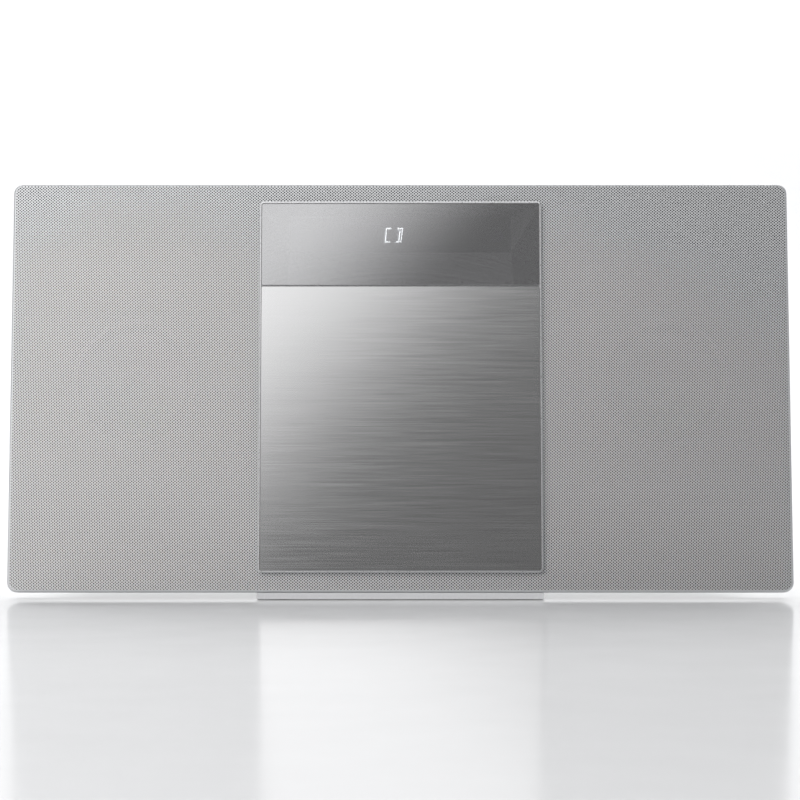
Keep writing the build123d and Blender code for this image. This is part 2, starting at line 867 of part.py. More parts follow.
with BuildPart() as sled_gear:
    gear(
        (sled_gear_x, sled_gear_z),
        pinion_teeth,
        sled_module,
        90,
        sled_pinion_front + gear_side_gap,
        sled_pinion_back,
    )
    gear(
        (sled_gear_x, sled_gear_z), wheel_teeth, sled_wheel_module, 0, sled_pinion_back, sled_wheel_back
    )
    rod_along_y(
        [(sled_gear_x, sled_gear_z)],
        gear_pin_radius + pin_gap,
        sled_pinion_front,
        sled_wheel_back,
        mode=Mode.SUBTRACT,
    )
keep(sled_gear, "sled_gear")

small_shaft_radius = 0.8
small_gear_front_gap = 0.3
small_gear_spare = 0.2
small_shaft_depth = 8.0
small_shaft_room = 9.0
with BuildPart() as sled_motor_gear:
    gear(
        (sled_motor_x, sled_gear_z),
        pinion_teeth,
        sled_wheel_module,
        half_tooth_turn,
        sled_pinion_back + small_gear_front_gap,
        sled_wheel_back + small_gear_spare,
    )
    rod_along_y(
        [(sled_motor_x, sled_gear_z)],
        small_shaft_radius,
        sled_wheel_back + small_gear_spare,
        sled_motor_front + small_shaft_depth,
    )
keep(sled_motor_gear, "sled_motor_gear")

with BuildPart() as sled_motor:
    rod_along_y(
        [(sled_motor_x, sled_gear_z)],
        sled_motor_radius,
        sled_motor_front,
        sled_motor_front + sled_motor_length,
    )
    chamfer(sled_motor.faces().sort_by(Axis.Y)[-1].edges(), length=small_motor_chamfer)
    rod_along_y(
        [(sled_motor_x, sled_gear_z)],
        small_shaft_radius + pin_gap,
        sled_motor_front,
        sled_motor_front + small_shaft_room,
        mode=Mode.SUBTRACT,
    )
keep(sled_motor, "sled_motor")

# Display module behind the window, its lit segments, and the remote sensor
display_front = flange_back
with BuildPart() as display_module:
    block(
        (-display_width / 2, display_width / 2),
        (display_front, display_front + display_depth),
        (display_z - display_height / 2, display_z + display_height / 2),
    )
keep(display_module, "display_module")

segment_thickness = 0.15
segment_front = display_front - segment_thickness
sign_gap = 3.2
sign_slant = 0.12
sign_z = display_z + sign_rise
letter_left = -7.8


def segment(places, low, high):
    """One slanted upright stroke of the sign, or one level stroke, between two corners."""
    lean_low = (low - sign_z) * sign_slant
    lean_high = (high - sign_z) * sign_slant
    left, right = places
    Polyline(
        (left + lean_low, low),
        (right + lean_low, low),
        (right + lean_high, high),
        (left + lean_high, high),
        close=True,
    )


sign_low = sign_z - sign_height / 2
sign_high = sign_z + sign_height / 2
stroke_break = 0.25
c_left = letter_left
c_right = c_left + sign_width
d_left = c_right + sign_gap
d_right = d_left + sign_width
upright_low = sign_low + sign_stroke + stroke_break
upright_high = sign_high - sign_stroke - stroke_break
strokes = []
for bottom, top in (
    (upright_low, sign_z - stroke_break / 2),
    (sign_z + stroke_break / 2, upright_high),
):
    strokes.append(((c_left, c_left + sign_stroke), bottom, top))
    strokes.append(((d_right - sign_stroke, d_right), bottom, top))
    middle_bar = (d_left + d_right - sign_stroke) / 2
    strokes.append(((middle_bar, middle_bar + sign_stroke), bottom, top))
for bottom, top in ((sign_low, sign_low + sign_stroke), (sign_high - sign_stroke, sign_high)):
    strokes.append(((c_left, c_right), bottom, top))
    strokes.append(((d_left, d_right), bottom, top))
with BuildPart() as display_segments:
    with BuildSketch(at_depth(segment_front)):
        for places, bottom, top in strokes:
            with BuildLine():
                segment(places, bottom, top)
            make_face()
    extrude(amount=-(display_front - segment_front))
keep(display_segments, "display_segments")

sensor_half = 5.0
sensor_depth = 4.0
sensor_gap = 0.4
sensor_set_back = 0.6
with BuildPart() as remote_sensor:
    block(
        (remote_x - sensor_half, remote_x + sensor_half),
        (display_front, display_front + sensor_depth),
        (display_z - sensor_half, display_z + sensor_half),
    )
    rod_along_y(
        [(remote_x, display_z)], remote_radius - sensor_gap, frame_back + sensor_set_back, display_front
    )
keep(remote_sensor, "remote_sensor")

# Speakers, one behind each half of the grille
basket_front = frame_back
basket_flange = 2.0
basket_neck_y = 24.0
basket_back = 26.0
basket_wall = 1.5
basket_shoulder = 2.5
basket_step = 3.0
basket_centre_radius = 10.0
basket_window_y = 11.0
basket_window_depth = 10.0
basket_window_circle = 24.0
basket_window_count = 4
basket_window_width = 22.0
basket_window_height = 16.0
screw_angles = (0, 90, 180, 270)
cone_edge_y = 5.8
cone_sheet = 1.2
cap_front = 14.0
cap_edge = 15.0
cap_radius = 6.0
cap_sheet = 1.0
cone_neck_radius = 9.0
cone_neck_y = 17.2
coil_radius = 9.6
coil_wall = 0.8
coil_back = 27.0
for side, name in ((-1, "left"), (1, "right")):
    centre = (side * speaker_x, 0, speaker_z)
    with BuildPart() as basket:
        with BuildSketch(Plane(origin=centre, x_dir=(1, 0, 0), z_dir=(0, 0, 1))):
            with BuildLine():
                Polyline(
                    (surround_radius, basket_front),
                    (basket_radius, basket_front),
                    (basket_radius, basket_front + basket_flange),
                    (surround_radius + basket_shoulder, basket_front + basket_flange),
                    (magnet_radius - basket_step, basket_back),
                    (basket_centre_radius, basket_back),
                    (basket_centre_radius, basket_neck_y),
                    (magnet_radius - basket_step - basket_wall, basket_neck_y),
                    (surround_radius, basket_front + basket_flange + 1),
                    close=True,
                )
            make_face()
        revolve(axis=Axis(centre, (0, 1, 0)))
        window_plane = Plane(
            origin=(centre[0], basket_window_y, centre[2]), x_dir=(1, 0, 0), z_dir=(0, 1, 0)
        )
        with BuildSketch(window_plane):
            with PolarLocations(basket_window_circle, basket_window_count, start_angle=45):
                Rectangle(basket_window_width, basket_window_height)
        extrude(amount=basket_window_depth, mode=Mode.SUBTRACT)
        ring = [
            (
                centre[0] + speaker_screw_circle * math.cos(math.radians(angle)),
                centre[2] + speaker_screw_circle * math.sin(math.radians(angle)),
            )
            for angle in screw_angles
        ]
        rod_along_y(ring, screw_radius, basket_front, basket_front + basket_flange, mode=Mode.SUBTRACT)
    keep(basket, f"{name}_speaker_basket")
    with BuildPart() as cone:
        with BuildSketch(Plane(origin=centre, x_dir=(1, 0, 0), z_dir=(0, 0, 1))):
            with BuildLine():
                Polyline(
                    (0, cap_front),
                    (cap_radius, cap_edge),
                    (cone_neck_radius, cone_neck_y),
                    (cone_radius, cone_edge_y),
                    (cone_radius, cone_edge_y + cone_sheet),
                    (coil_radius, cone_neck_y + cone_sheet),
                    (coil_radius, coil_back),
                    (coil_radius - coil_wall, coil_back),
                    (coil_radius - coil_wall, cone_neck_y + cap_sheet),
                    (cap_radius, cap_edge + cap_sheet),
                    (0, cap_front + cap_sheet),
                    close=True,
                )
            make_face()
        revolve(axis=Axis(centre, (0, 1, 0)))
    keep(cone, f"{name}_speaker_cone")

sides = ((-speaker_x, 0, speaker_z), (speaker_x, 0, speaker_z))
surround_sheet = 0.8
surround_back = cone_edge_y + surround_sheet
roll_front = 4.0
roll_middle = (cone_radius + surround_radius) / 2
with BuildPart() as speaker_surrounds:
    for centre in sides:
        with BuildSketch(Plane(origin=centre, x_dir=(1, 0, 0), z_dir=(0, 0, 1))):
            with BuildLine():
                ThreePointArc(
                    (surround_radius, cone_edge_y), (roll_middle, roll_front), (cone_radius, cone_edge_y)
                )
                Line((cone_radius, cone_edge_y), (cone_radius, surround_back))
                ThreePointArc(
                    (cone_radius, surround_back),
                    (roll_middle, roll_front + surround_sheet),
                    (surround_radius, surround_back),
                )
                Line((surround_radius, surround_back), (surround_radius, cone_edge_y))
            make_face()
        revolve(axis=Axis(centre, (0, 1, 0)))
keep(speaker_surrounds, "speaker_surrounds")

magnet_height = 14.0
coil_gap = 1.0
coil_well = 8.0
pole_rise = 4.0
with BuildPart() as speaker_magnets:
    for centre in sides:
        place = [(centre[0], centre[2])]
        rod_along_y(place, magnet_radius, basket_back, basket_back + magnet_height)
        rod_along_y(
            place, coil_radius + coil_gap, basket_back, basket_back + coil_well, mode=Mode.SUBTRACT
        )
        rod_along_y(
            place, coil_radius - coil_wall - coil_gap, basket_back - pole_rise, basket_back + coil_well
        )
keep(speaker_magnets, "speaker_magnets")

# Rear cabinet: a tapered shell with a screwed rim, bosses, vents and cut-outs
main_standoffs = [(x, z) for z in (48.0, 164.0) for x in (-70.0, -6.0)]
power_standoffs = [(x, z) for z in (64.0, 156.0) for x in (10.0, 66.0)]
standoffs = main_standoffs + power_standoffs
standoff_radius = 3.5
wall_boss_radius = 5.0
cabinet_edge = 4.0
rim_gap = 0.3
vent_width = 2.4
vent_pitch = 6.0
upper_vent_z = 160.0
upper_vent_length = 84.0
upper_vent_count = 6
lower_vent_z = 70.0
lower_vent_length = 40.0
lower_vent_count = 5
stand_screws = [(x, z) for x in (-stand_screw_x, stand_screw_x) for z in (stand_screw_low, stand_screw_high)]
wall_holes = [(-wall_hole_x, wall_hole_z), (wall_hole_x, wall_hole_z)]


def cabinet_outline(y, inset):
    """The shell's outline at depth y, drawn in by inset on every side."""
    share = (y - cabinet_front) / (cabinet_back_y - cabinet_front)
    width = cabinet_front_width + (cabinet_back_width - cabinet_front_width) * share
    low = cabinet_front_bottom + (cabinet_back_bottom - cabinet_front_bottom) * share
    with Locations((0, (low + cabinet_top) / 2)):
        RectangleRounded(width - 2 * inset, cabinet_top - low - 2 * inset, cabinet_corner - inset)


with BuildPart() as rear_cabinet:
    with BuildSketch(at_depth(cabinet_front)):
        cabinet_outline(cabinet_front, 0)
    with BuildSketch(at_depth(cabinet_back_y)):
        cabinet_outline(cabinet_back_y, 0)
    loft()
    fillet(rear_cabinet.faces().sort_by(Axis.Y)[-1].edges(), radius=cabinet_edge)
    with BuildSketch(at_depth(rim_front)):
        with Locations((0, panel_height / 2)):
            Rectangle(
                frame_width - 2 * (frame_wall + rim_gap), frame_height - 2 * (frame_wall + rim_gap)
            )
    extrude(amount=-cabinet_rim)
    with BuildSketch(at_depth(rim_front)):
        cabinet_outline(rim_front, cabinet_wall)
    with BuildSketch(at_depth(inner_back)):
        cabinet_outline(inner_back, cabinet_wall)
    loft(mode=Mode.SUBTRACT)
    rod_along_y(standoffs, standoff_radius, board_y + board_thickness, inner_back)
    rod_along_y(stand_screws, stand_boss_radius, inner_back - stand_boss_length, inner_back)
    rod_along_y(wall_holes, wall_boss_radius, inner_back - wall_hole_length, inner_back)
    rod_along_y(cabinet_screws, screw_radius, rim_front, cabinet_front, mode=Mode.SUBTRACT)
    rod_along_y(
        standoffs,
        screw_radius,
        board_y + board_thickness,
        board_y + board_thickness + screw_bite,
        mode=Mode.SUBTRACT,
    )
    rod_along_y(
        stand_screws,
        stand_screw_radius,
        cabinet_back_y - stand_boss_length,
        cabinet_back_y,
        mode=Mode.SUBTRACT,
    )
    rod_along_y(
        wall_holes, wall_hole_radius, cabinet_back_y - wall_hole_length, cabinet_back_y, mode=Mode.SUBTRACT
    )
    with BuildSketch(at_depth(inner_back)):
        with Locations((0, plate_z)):
            Rectangle(plate_width - 2 * plate_lap, plate_height - 2 * plate_lap)
        with Locations((0, upper_vent_z)):
            with GridLocations(0, vent_pitch, 1, upper_vent_count):
                SlotOverall(upper_vent_length, vent_width)
        with Locations((-speaker_x, lower_vent_z), (speaker_x, lower_vent_z)):
            with GridLocations(0, vent_pitch, 1, lower_vent_count):
                SlotOverall(lower_vent_length, vent_width)
    extrude(amount=-cabinet_wall, mode=Mode.SUBTRACT)
    with BuildSketch(at_height(cabinet_top - cabinet_wall)):
        with Locations((0, strip_y)):
            Rectangle(strip_width, strip_depth)
    extrude(amount=cabinet_wall, mode=Mode.SUBTRACT)
keep(rear_cabinet, "rear_cabinet")

# Small screws: cabinet, well and speakers
speaker_screws = [
    (
        side * speaker_x + speaker_screw_circle * math.cos(math.radians(angle)),
        speaker_z + speaker_screw_circle * math.sin(math.radians(angle)),
    )
    for side in (-1, 1)
    for angle in screw_angles
]
with BuildPart() as body_screws:
    pan_screws(
        cabinet_screws,
        cabinet_front,
        cabinet_rim + screw_bite,
        screw_radius,
        screw_head_radius,
        screw_head_height,
        towards_back=True,
    )
    for places, seat in ((well_screws, flange_back), (speaker_screws, basket_front + basket_flange)):
        pan_screws(
            places,
            seat,
            seat - frame_back,
            screw_radius,
            screw_head_radius,
            screw_head_height,
            towards_back=True,
        )
keep(body_screws, "body_screws")

# Control strip on the cabinet's top, with seven buttons over a board with switches
button_names = ("power", "source", "stop", "play", "volume_down", "volume_up", "door")
button_middle = (len(button_names) - 1) / 2
button_xs = [(place - button_middle) * button_pitch for place in range(len(button_names))]
leg_half = 1.5
leg_half_depth = 6.0
strip_gap = 0.15
button_corner = 1.5
button_edge = 0.5
button_lip = 1.0
stem_half = 2.0
stem_gap = 0.1
board_half_depth = 8.0
plunger_radius = 1.5
leg_x = strip_width / 2 - leg_half
board_top = key_board_z + board_thickness
with BuildPart() as control_strip:
    block(
        (-strip_width / 2 + strip_gap, strip_width / 2 - strip_gap),
        (strip_y - strip_depth / 2 + strip_gap, strip_y + strip_depth / 2 - strip_gap),
        (cabinet_top - cabinet_wall, cabinet_top),
    )
    block(
        (-strip_width / 2 - strip_lap, strip_width / 2 + strip_lap),
        (strip_y - strip_depth / 2 - strip_lap, strip_y + strip_depth / 2 + strip_lap),
        (strip_underside, cabinet_top - cabinet_wall),
    )
    for x in (-leg_x, leg_x):
        block(
            (x - leg_half, x + leg_half),
            (strip_y - leg_half_depth, strip_y + leg_half_depth),
            (board_top, strip_underside),
        )
    with BuildSketch(at_height(strip_underside)):
        with Locations(*[(x, strip_y) for x in button_xs]):
            RectangleRounded(
                button_width + 2 * button_gap, button_depth + 2 * button_gap, button_corner + button_gap
            )
    extrude(amount=cabinet_top - strip_underside, mode=Mode.SUBTRACT)
keep(control_strip, "control_strip")

stem_bottom = board_top + switch_height + plunger_height + button_travel + stem_gap
for name, x in zip(button_names, button_xs):
    with BuildPart() as button:
        with BuildSketch(at_height(strip_underside - button_gap)):
            with Locations((x, strip_y)):
                RectangleRounded(button_width, button_depth, button_corner)
        extrude(amount=cabinet_top + button_rise - strip_underside + button_gap)
        fillet(button.faces().sort_by(Axis.Z)[-1].edges(), radius=button_edge)
        block(
            (x - button_width / 2 - button_lip, x + button_width / 2 + button_lip),
            (strip_y - button_depth / 2 - button_lip, strip_y + button_depth / 2 + button_lip),
            (strip_underside - button_gap - button_lip, strip_underside - button_gap),
        )
        block(
            (x - stem_half, x + stem_half),
            (strip_y - stem_half, strip_y + stem_half),
            (stem_bottom, strip_underside - button_gap - button_lip),
        )
    keep(button, f"button_{name}")

with BuildPart() as key_board:
    block(
        (-strip_width / 2, strip_width / 2),
        (strip_y - board_half_depth, strip_y + board_half_depth),
        (key_board_z, board_top),
    )
    for x in button_xs:
        half = switch_size / 2
        block((x - half, x + half), (strip_y - half, strip_y + half), (board_top, board_top + switch_height))
    switch_top = board_top + switch_height
    rod_along_z(
        [(x, strip_y) for x in button_xs], plunger_radius, switch_top, switch_top + plunger_height
    )
keep(key_board, "key_board")

# Main board with its heat sink, and the power board with its transformer and capacitors. Each
# block is given by its sides in x, its sides in z and its height over the board.
board_back = board_y + board_thickness
main_board_x = (-75.0, -1.0)
main_board_z = (43.0, 169.0)
chips = [((-62.0, -44.0), (70.0, 88.0), 2.0), ((-34.0, -24.0), (96.0, 112.0), 1.6)]
amplifier_x = (-60.0, -22.0)
amplifier_z = (137.0, 161.0)
amplifier_height = 4.0
with BuildPart() as main_board:
    block(main_board_x, (board_y, board_back), main_board_z)
    for chip_x, chip_z, height in chips:
        block(chip_x, (board_y - height, board_y), chip_z)
    block(amplifier_x, (board_back, board_back + amplifier_height), amplifier_z)
    rod_along_y(main_standoffs, screw_radius, board_y, board_back, mode=Mode.SUBTRACT)
keep(main_board, "main_board")

sink_margin = 3.0
sink_base = 3.0
fin_count = 9
fin_pitch = 5.0
fin_thickness = 1.6
fin_inset = 1.2
fin_back_gap = 2.0
sink_x = (amplifier_x[0] - sink_margin, amplifier_x[1] + sink_margin)
sink_z = (amplifier_z[0] - sink_margin, amplifier_z[1] + sink_margin)
fin_front = board_back + amplifier_height
fin_root = fin_front + sink_base
with BuildPart() as heat_sink:
    block(sink_x, (fin_front, fin_root), sink_z)
    for fin in range(fin_count):
        fin_x = sink_x[0] + fin_inset + fin * fin_pitch
        block((fin_x, fin_x + fin_thickness), (fin_root, inner_back - fin_back_gap), sink_z)
keep(heat_sink, "heat_sink")

power_board_x = (4.0, 72.0)
power_board_z = (58.0, 162.0)
with BuildPart() as power_board:
    block(power_board_x, (board_y, board_back), power_board_z)
    rod_along_y(power_standoffs, screw_radius, board_y, board_back, mode=Mode.SUBTRACT)
keep(power_board, "power_board")

core_x = (24.0, 54.0)
core_z = (92.0, 118.0)
core_height = 12.0
winding_margin = 4.0
winding_height = 8.0
winding_foot = 4.0
with BuildPart() as transformer:
    block(core_x, (board_y - core_height, board_y), core_z)
    block(
        (core_x[0] - winding_margin, core_x[1] + winding_margin),
        (board_y - winding_height, board_y - winding_foot),
        (core_z[0] - winding_margin, core_z[1] + winding_margin),
    )
keep(transformer, "transformer")

capacitors = [(18.0, 140.0), (38.0, 140.0), (58.0, 140.0)]
capacitor_radius = 8.0
capacitor_height = 11.0
with BuildPart() as filter_capacitors:
    rod_along_y(capacitors, capacitor_radius, board_y - capacitor_height, board_y)
keep(filter_capacitors, "filter_capacitors")

with BuildPart() as board_screws:
    pan_screws(
        standoffs,
        board_y,
        board_thickness + screw_bite,
        screw_radius,
        screw_head_radius,
        screw_head_height,
    )
keep(board_screws, "board_screws")

# Terminal plate with the mains inlet and the aerial, USB and headphone sockets
plate_front = inner_back - plate_thickness
inlet_x = 30.0
aerial_x = -34.0
usb_x = -10.0
phone_x = 8.0
inlet_hole_width = 15.0
inlet_hole_height = 8.6
aerial_radius = 4.7
usb_width = 13.1
usb_height = 5.7
usb_wall = 0.4
phone_ring_radius = 3.5
socket_proud = 0.5
inlet_wall = 2.5
inlet_proud = 1.0
inlet_depth = 12.0
inlet_body = 15.0
pin_radius = 1.2
pin_place = 4.3
pin_set_back = 2.0
aerial_body_radius = 6.5
aerial_length = 8.0
aerial_bore = 3.2
aerial_pin_radius = 0.6
aerial_pin_length = 6.0
usb_body = 14.0
usb_depth = 13.0
tongue_half = 5.5
tongue_low = 0.3
tongue_high = 1.9
tongue_set_back = 1.0
phone_body_half_width = 4.5
phone_body_half_height = 5.0
phone_body_depth = 12.0
with BuildPart() as terminal_plate:
    block(
        (-plate_width / 2, plate_width / 2),
        (plate_front, inner_back),
        (plate_z - plate_height / 2, plate_z + plate_height / 2),
    )
    with BuildSketch(at_depth(plate_front)):
        with Locations((inlet_x, plate_z)):
            Rectangle(inlet_hole_width + 2 * inlet_wall, inlet_hole_height + 2 * inlet_wall)
        with Locations((aerial_x, plate_z)):
            Circle(aerial_radius)
        with Locations((usb_x, plate_z)):
            Rectangle(usb_width, usb_height)
        with Locations((phone_x, plate_z)):
            Circle(phone_ring_radius)
    extrude(amount=-plate_thickness, mode=Mode.SUBTRACT)
keep(terminal_plate, "terminal_plate")

with BuildPart() as mains_inlet:
    half_width = inlet_hole_width / 2 + inlet_wall
    half_height = inlet_hole_height / 2 + inlet_wall
    inlet_back = inner_back + inlet_proud
    block(
        (inlet_x - half_width, inlet_x + half_width),
        (inlet_back - inlet_body, inlet_back),
        (plate_z - half_height, plate_z + half_height),
    )
    with BuildSketch(at_depth(inlet_back - inlet_depth)):
        with Locations((inlet_x, plate_z)):
            SlotOverall(inlet_hole_width, inlet_hole_height)
    extrude(amount=-inlet_depth, mode=Mode.SUBTRACT)
    rod_along_y(
        [(inlet_x - pin_place, plate_z), (inlet_x + pin_place, plate_z)],
        pin_radius,
        inlet_back - inlet_depth,
        inlet_back - pin_set_back,
    )
keep(mains_inlet, "mains_inlet")

with BuildPart() as aerial_socket:
    place = [(aerial_x, plate_z)]
    aerial_back = inner_back + aerial_length
    rod_along_y(place, aerial_body_radius, plate_front - aerial_length, plate_front)
    rod_along_y(place, aerial_radius, plate_front, aerial_back)
    rod_along_y(place, aerial_bore, inner_back, aerial_back, mode=Mode.SUBTRACT)
    rod_along_y(place, aerial_pin_radius, inner_back, inner_back + aerial_pin_length)
keep(aerial_socket, "aerial_socket")

with BuildPart() as usb_socket:
    half_width = usb_width / 2
    half_height = usb_height / 2
    usb_back = inner_back + socket_proud
    block(
        (usb_x - half_width, usb_x + half_width),
        (usb_back - usb_body, usb_back),
        (plate_z - half_height, plate_z + half_height),
    )
    with BuildSketch(at_depth(usb_back - usb_depth)):
        with Locations((usb_x, plate_z)):
            Rectangle(usb_width - 2 * usb_wall, usb_height - 2 * usb_wall)
    extrude(amount=-usb_depth, mode=Mode.SUBTRACT)
    block(
        (usb_x - tongue_half, usb_x + tongue_half),
        (usb_back - usb_depth, usb_back - tongue_set_back),
        (plate_z + tongue_low, plate_z + tongue_high),
    )
keep(usb_socket, "usb_socket")

with BuildPart() as headphone_socket:
    phone_back = inner_back + socket_proud
    block(
        (phone_x - phone_body_half_width, phone_x + phone_body_half_width),
        (plate_front - phone_body_depth, plate_front),
        (plate_z - phone_body_half_height, plate_z + phone_body_half_height),
    )
    rod_along_y([(phone_x, plate_z)], phone_ring_radius, plate_front, phone_back)
    rod_along_y(
        [(phone_x, plate_z)],
        phone_hole_radius,
        phone_back - phone_hole_length,
        phone_back,
        mode=Mode.SUBTRACT,
    )
keep(headphone_socket, "headphone_socket")


# Stand: a low slab with a lip under the panel and a neck bent up along the cabinet's back
def leaned(y, z):
    """Where the upright body's point (y, z) comes to stand once the body leans back."""
    return (panel_y + y * lean_cosine + z * lean_sine, panel_lift - y * lean_sine + z * lean_cosine)


slab_top = foot_proud + stand_thickness
stand_back = overall_depth / 2
lip_set_back = 0.3
lip_front = leaned(lip_set_back, -lip_gap)
lip_back = leaned((panel_lift - lip_gap - slab_top) / lean_sine, -lip_gap)
neck_front_top = leaned(cabinet_back_y, neck_top)
neck_back_top = leaned(cabinet_back_y + neck_thickness, neck_top)
neck_front_low = leaned(cabinet_back_y, 0)
neck_back_low = leaned(cabinet_back_y + neck_thickness, 0)
feet = [
    (side * (stand_width / 2 - foot_inset), y)
    for side in (-1, 1)
    for y in (lip_front[0] + foot_inset, stand_back - foot_inset)
]


def level_with_slab(low, high):
    """The point of a neck face where it meets the slab's top."""
    share = (slab_top - low[1]) / (high[1] - low[1])
    return (low[0] + (high[0] - low[0]) * share, slab_top)


neck_front_foot = level_with_slab(neck_front_low, neck_front_top)
neck_back_foot = level_with_slab(neck_back_low, neck_back_top)
with BuildPart() as stand:
    with BuildSketch(at_height(foot_proud)):
        with Locations((0, (lip_front[0] + stand_back) / 2)):
            Rectangle(stand_width, stand_back - lip_front[0])
    extrude(amount=stand_thickness)
    with BuildSketch(Plane.YZ.offset(-stand_width / 2)):
        with BuildLine():
            Polyline(
                lip_front,
                lip_back,
                (lip_back[0], foot_proud),
                (lip_front[0], foot_proud),
                close=True,
            )
        make_face()
    extrude(amount=stand_width)
    with BuildSketch(Plane.YZ.offset(-neck_width / 2)):
        with BuildLine():
            Polyline(
                (neck_front_foot[0] - neck_bend, slab_top),
                (neck_front_foot[0] + neck_bend * lean_slope, slab_top + neck_bend),
                neck_front_top,
                neck_back_top,
                (neck_back_foot[0] + neck_bend * lean_slope, slab_top + neck_bend),
                (neck_back_foot[0] + neck_bend, slab_top),
                (neck_back_foot[0] + neck_bend, foot_proud),
                (neck_front_foot[0] - neck_bend, foot_proud),
                close=True,
            )
        make_face()
    extrude(amount=neck_width)
    uprights = stand.edges().filter_by(Axis.Z).group_by(Axis.Y)
    fillet(uprights[-1], radius=stand_corner)
    with BuildSketch(at_height(foot_proud)):
        with Locations(*feet):
            Circle(foot_radius)
    extrude(amount=foot_height - foot_proud, mode=Mode.SUBTRACT)
    for x, z in stand_screws:
        y_world, z_world = leaned(cabinet_back_y, z)
        face = Plane(origin=(x, y_world, z_world), x_dir=(1, 0, 0), z_dir=(0, lean_cosine, -lean_sine))
        with BuildSketch(face):
            Circle(stand_screw_radius)
        extrude(amount=neck_thickness, mode=Mode.SUBTRACT)
keep(stand, "stand", leaning=False)

with BuildPart() as stand_bolts:
    pan_screws(
        stand_screws,
        cabinet_back_y + neck_thickness,
        neck_thickness + stand_boss_length,
        stand_screw_radius,
        stand_screw_head_radius,
        stand_screw_head_height,
        towards_back=True,
    )
keep(stand_bolts, "stand_screws")

with BuildPart() as rubber_feet:
    with BuildSketch(at_height(0)):
        with Locations(*feet):
            Circle(foot_radius)
    extrude(amount=foot_height)
keep(rubber_feet, "rubber_feet", leaning=False)
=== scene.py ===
# %% [markdown]
# # A slim CD stereo in Blender
# The frame comes from the CAD: a wide leaning front, a sliding door in the middle and a low
# stand. Here it gets what the eye needs: the perforated sheet, finishes, small signs, a floor
# and light. We load the frame first.

import bpy
import json
import math
from mathutils import Matrix, Vector

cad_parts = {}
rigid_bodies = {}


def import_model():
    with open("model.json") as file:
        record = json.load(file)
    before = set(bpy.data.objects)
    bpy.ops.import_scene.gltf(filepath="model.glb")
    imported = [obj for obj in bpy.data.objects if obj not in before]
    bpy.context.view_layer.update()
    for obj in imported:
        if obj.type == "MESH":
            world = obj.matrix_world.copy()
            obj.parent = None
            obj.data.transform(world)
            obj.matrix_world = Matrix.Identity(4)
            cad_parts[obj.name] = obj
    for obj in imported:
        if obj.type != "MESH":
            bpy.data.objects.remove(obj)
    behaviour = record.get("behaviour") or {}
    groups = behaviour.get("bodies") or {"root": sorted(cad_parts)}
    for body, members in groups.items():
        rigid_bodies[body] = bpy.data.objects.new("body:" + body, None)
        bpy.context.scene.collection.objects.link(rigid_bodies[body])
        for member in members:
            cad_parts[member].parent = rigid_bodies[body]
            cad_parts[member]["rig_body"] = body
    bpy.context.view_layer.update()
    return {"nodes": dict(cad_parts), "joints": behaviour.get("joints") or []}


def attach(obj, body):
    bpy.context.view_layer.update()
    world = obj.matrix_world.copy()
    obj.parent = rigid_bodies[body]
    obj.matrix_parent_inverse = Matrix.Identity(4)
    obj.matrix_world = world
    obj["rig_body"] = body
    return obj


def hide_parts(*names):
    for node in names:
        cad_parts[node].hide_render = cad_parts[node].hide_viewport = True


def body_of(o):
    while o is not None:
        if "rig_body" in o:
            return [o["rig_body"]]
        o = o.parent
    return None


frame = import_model()
nodes = frame["nodes"]
MM = 0.001

# %% [markdown]
# ## Working upright
# The body leans back by a few degrees. Modelling on a slant is awkward, so every new piece is
# drawn upright and leaned at the end. The disc's axis in the record points straight out of
# the front, so its slope is the lean. To know where things are, we measure the CAD pieces in
# the same upright frame.

# %% Upright frame
joints = {joint["name"]: joint for joint in frame["joints"]}
lean = math.asin(joints["turntable_turn"]["axis"][2])
LEAN = Matrix.Rotation(-lean, 4, "X")
UPRIGHT = LEAN.inverted()
print("lean", round(math.degrees(lean), 3), "degrees")


def upright_box(name):
    """Lowest and highest corner of a CAD piece once the body stands upright."""
    points = [UPRIGHT @ vertex.co for vertex in nodes[name].data.vertices]
    low = Vector([min(point[axis] for point in points) for axis in range(3)])
    high = Vector([max(point[axis] for point in points) for axis in range(3)])
    return low, high


panel_low, panel_high = upright_box("grille")
panel_width = panel_high.x - panel_low.x
panel_height = panel_high.z - panel_low.z
print("panel", round(panel_width / MM, 1), "x", round(panel_height / MM, 1), "mm")

# %% [markdown]
# ## Small helpers
# Operators work on whatever is selected, so we deselect before each new piece. In edit mode we
# pick faces, edges or points by their place, as we would pick them with the mouse.

# %% Helpers for edit mode
def choose(piece):
    """Select one piece only and make it active."""
    bpy.ops.object.select_all(action="DESELECT")
    piece.select_set(True)
    bpy.context.view_layer.objects.active = piece


def edit(piece):
    """Enter edit mode on a piece with nothing selected."""
    choose(piece)
    bpy.ops.object.mode_set(mode="EDIT")
    bpy.ops.mesh.select_all(action="DESELECT")


def done():
    """Leave edit mode."""
    bpy.ops.object.mode_set(mode="OBJECT")


def pick(piece, kind, test):
    """Select the faces, edges or vertices of a piece whose middle passes a test, in edit mode."""
    done()
    mesh = piece.data
    for group in (mesh.polygons, mesh.edges, mesh.vertices):
        for item in group:
            item.select = False
    items = {"FACE": mesh.polygons, "EDGE": mesh.edges, "VERT": mesh.vertices}[kind]
    count = 0
    for item in items:
        if kind == "FACE":
            middle = item.center
        elif kind == "EDGE":
            ends = [mesh.vertices[index].co for index in item.vertices]
            middle = (ends[0] + ends[1]) / 2
        else:
            middle = item.co
        if test(middle, item):
            item.select = True
            count += 1
    bpy.ops.object.mode_set(mode="EDIT")
    bpy.ops.mesh.select_mode(type=kind)
    return count


# %% [markdown]
# ## Naming, modifiers and settling
# A new primitive is the active object, so one helper names it. Modifiers are applied at once:
# what we see is then plain mesh. The last helper puts a piece's place into its mesh, leans it,
# smooths it where asked, and lets it ride on its body.

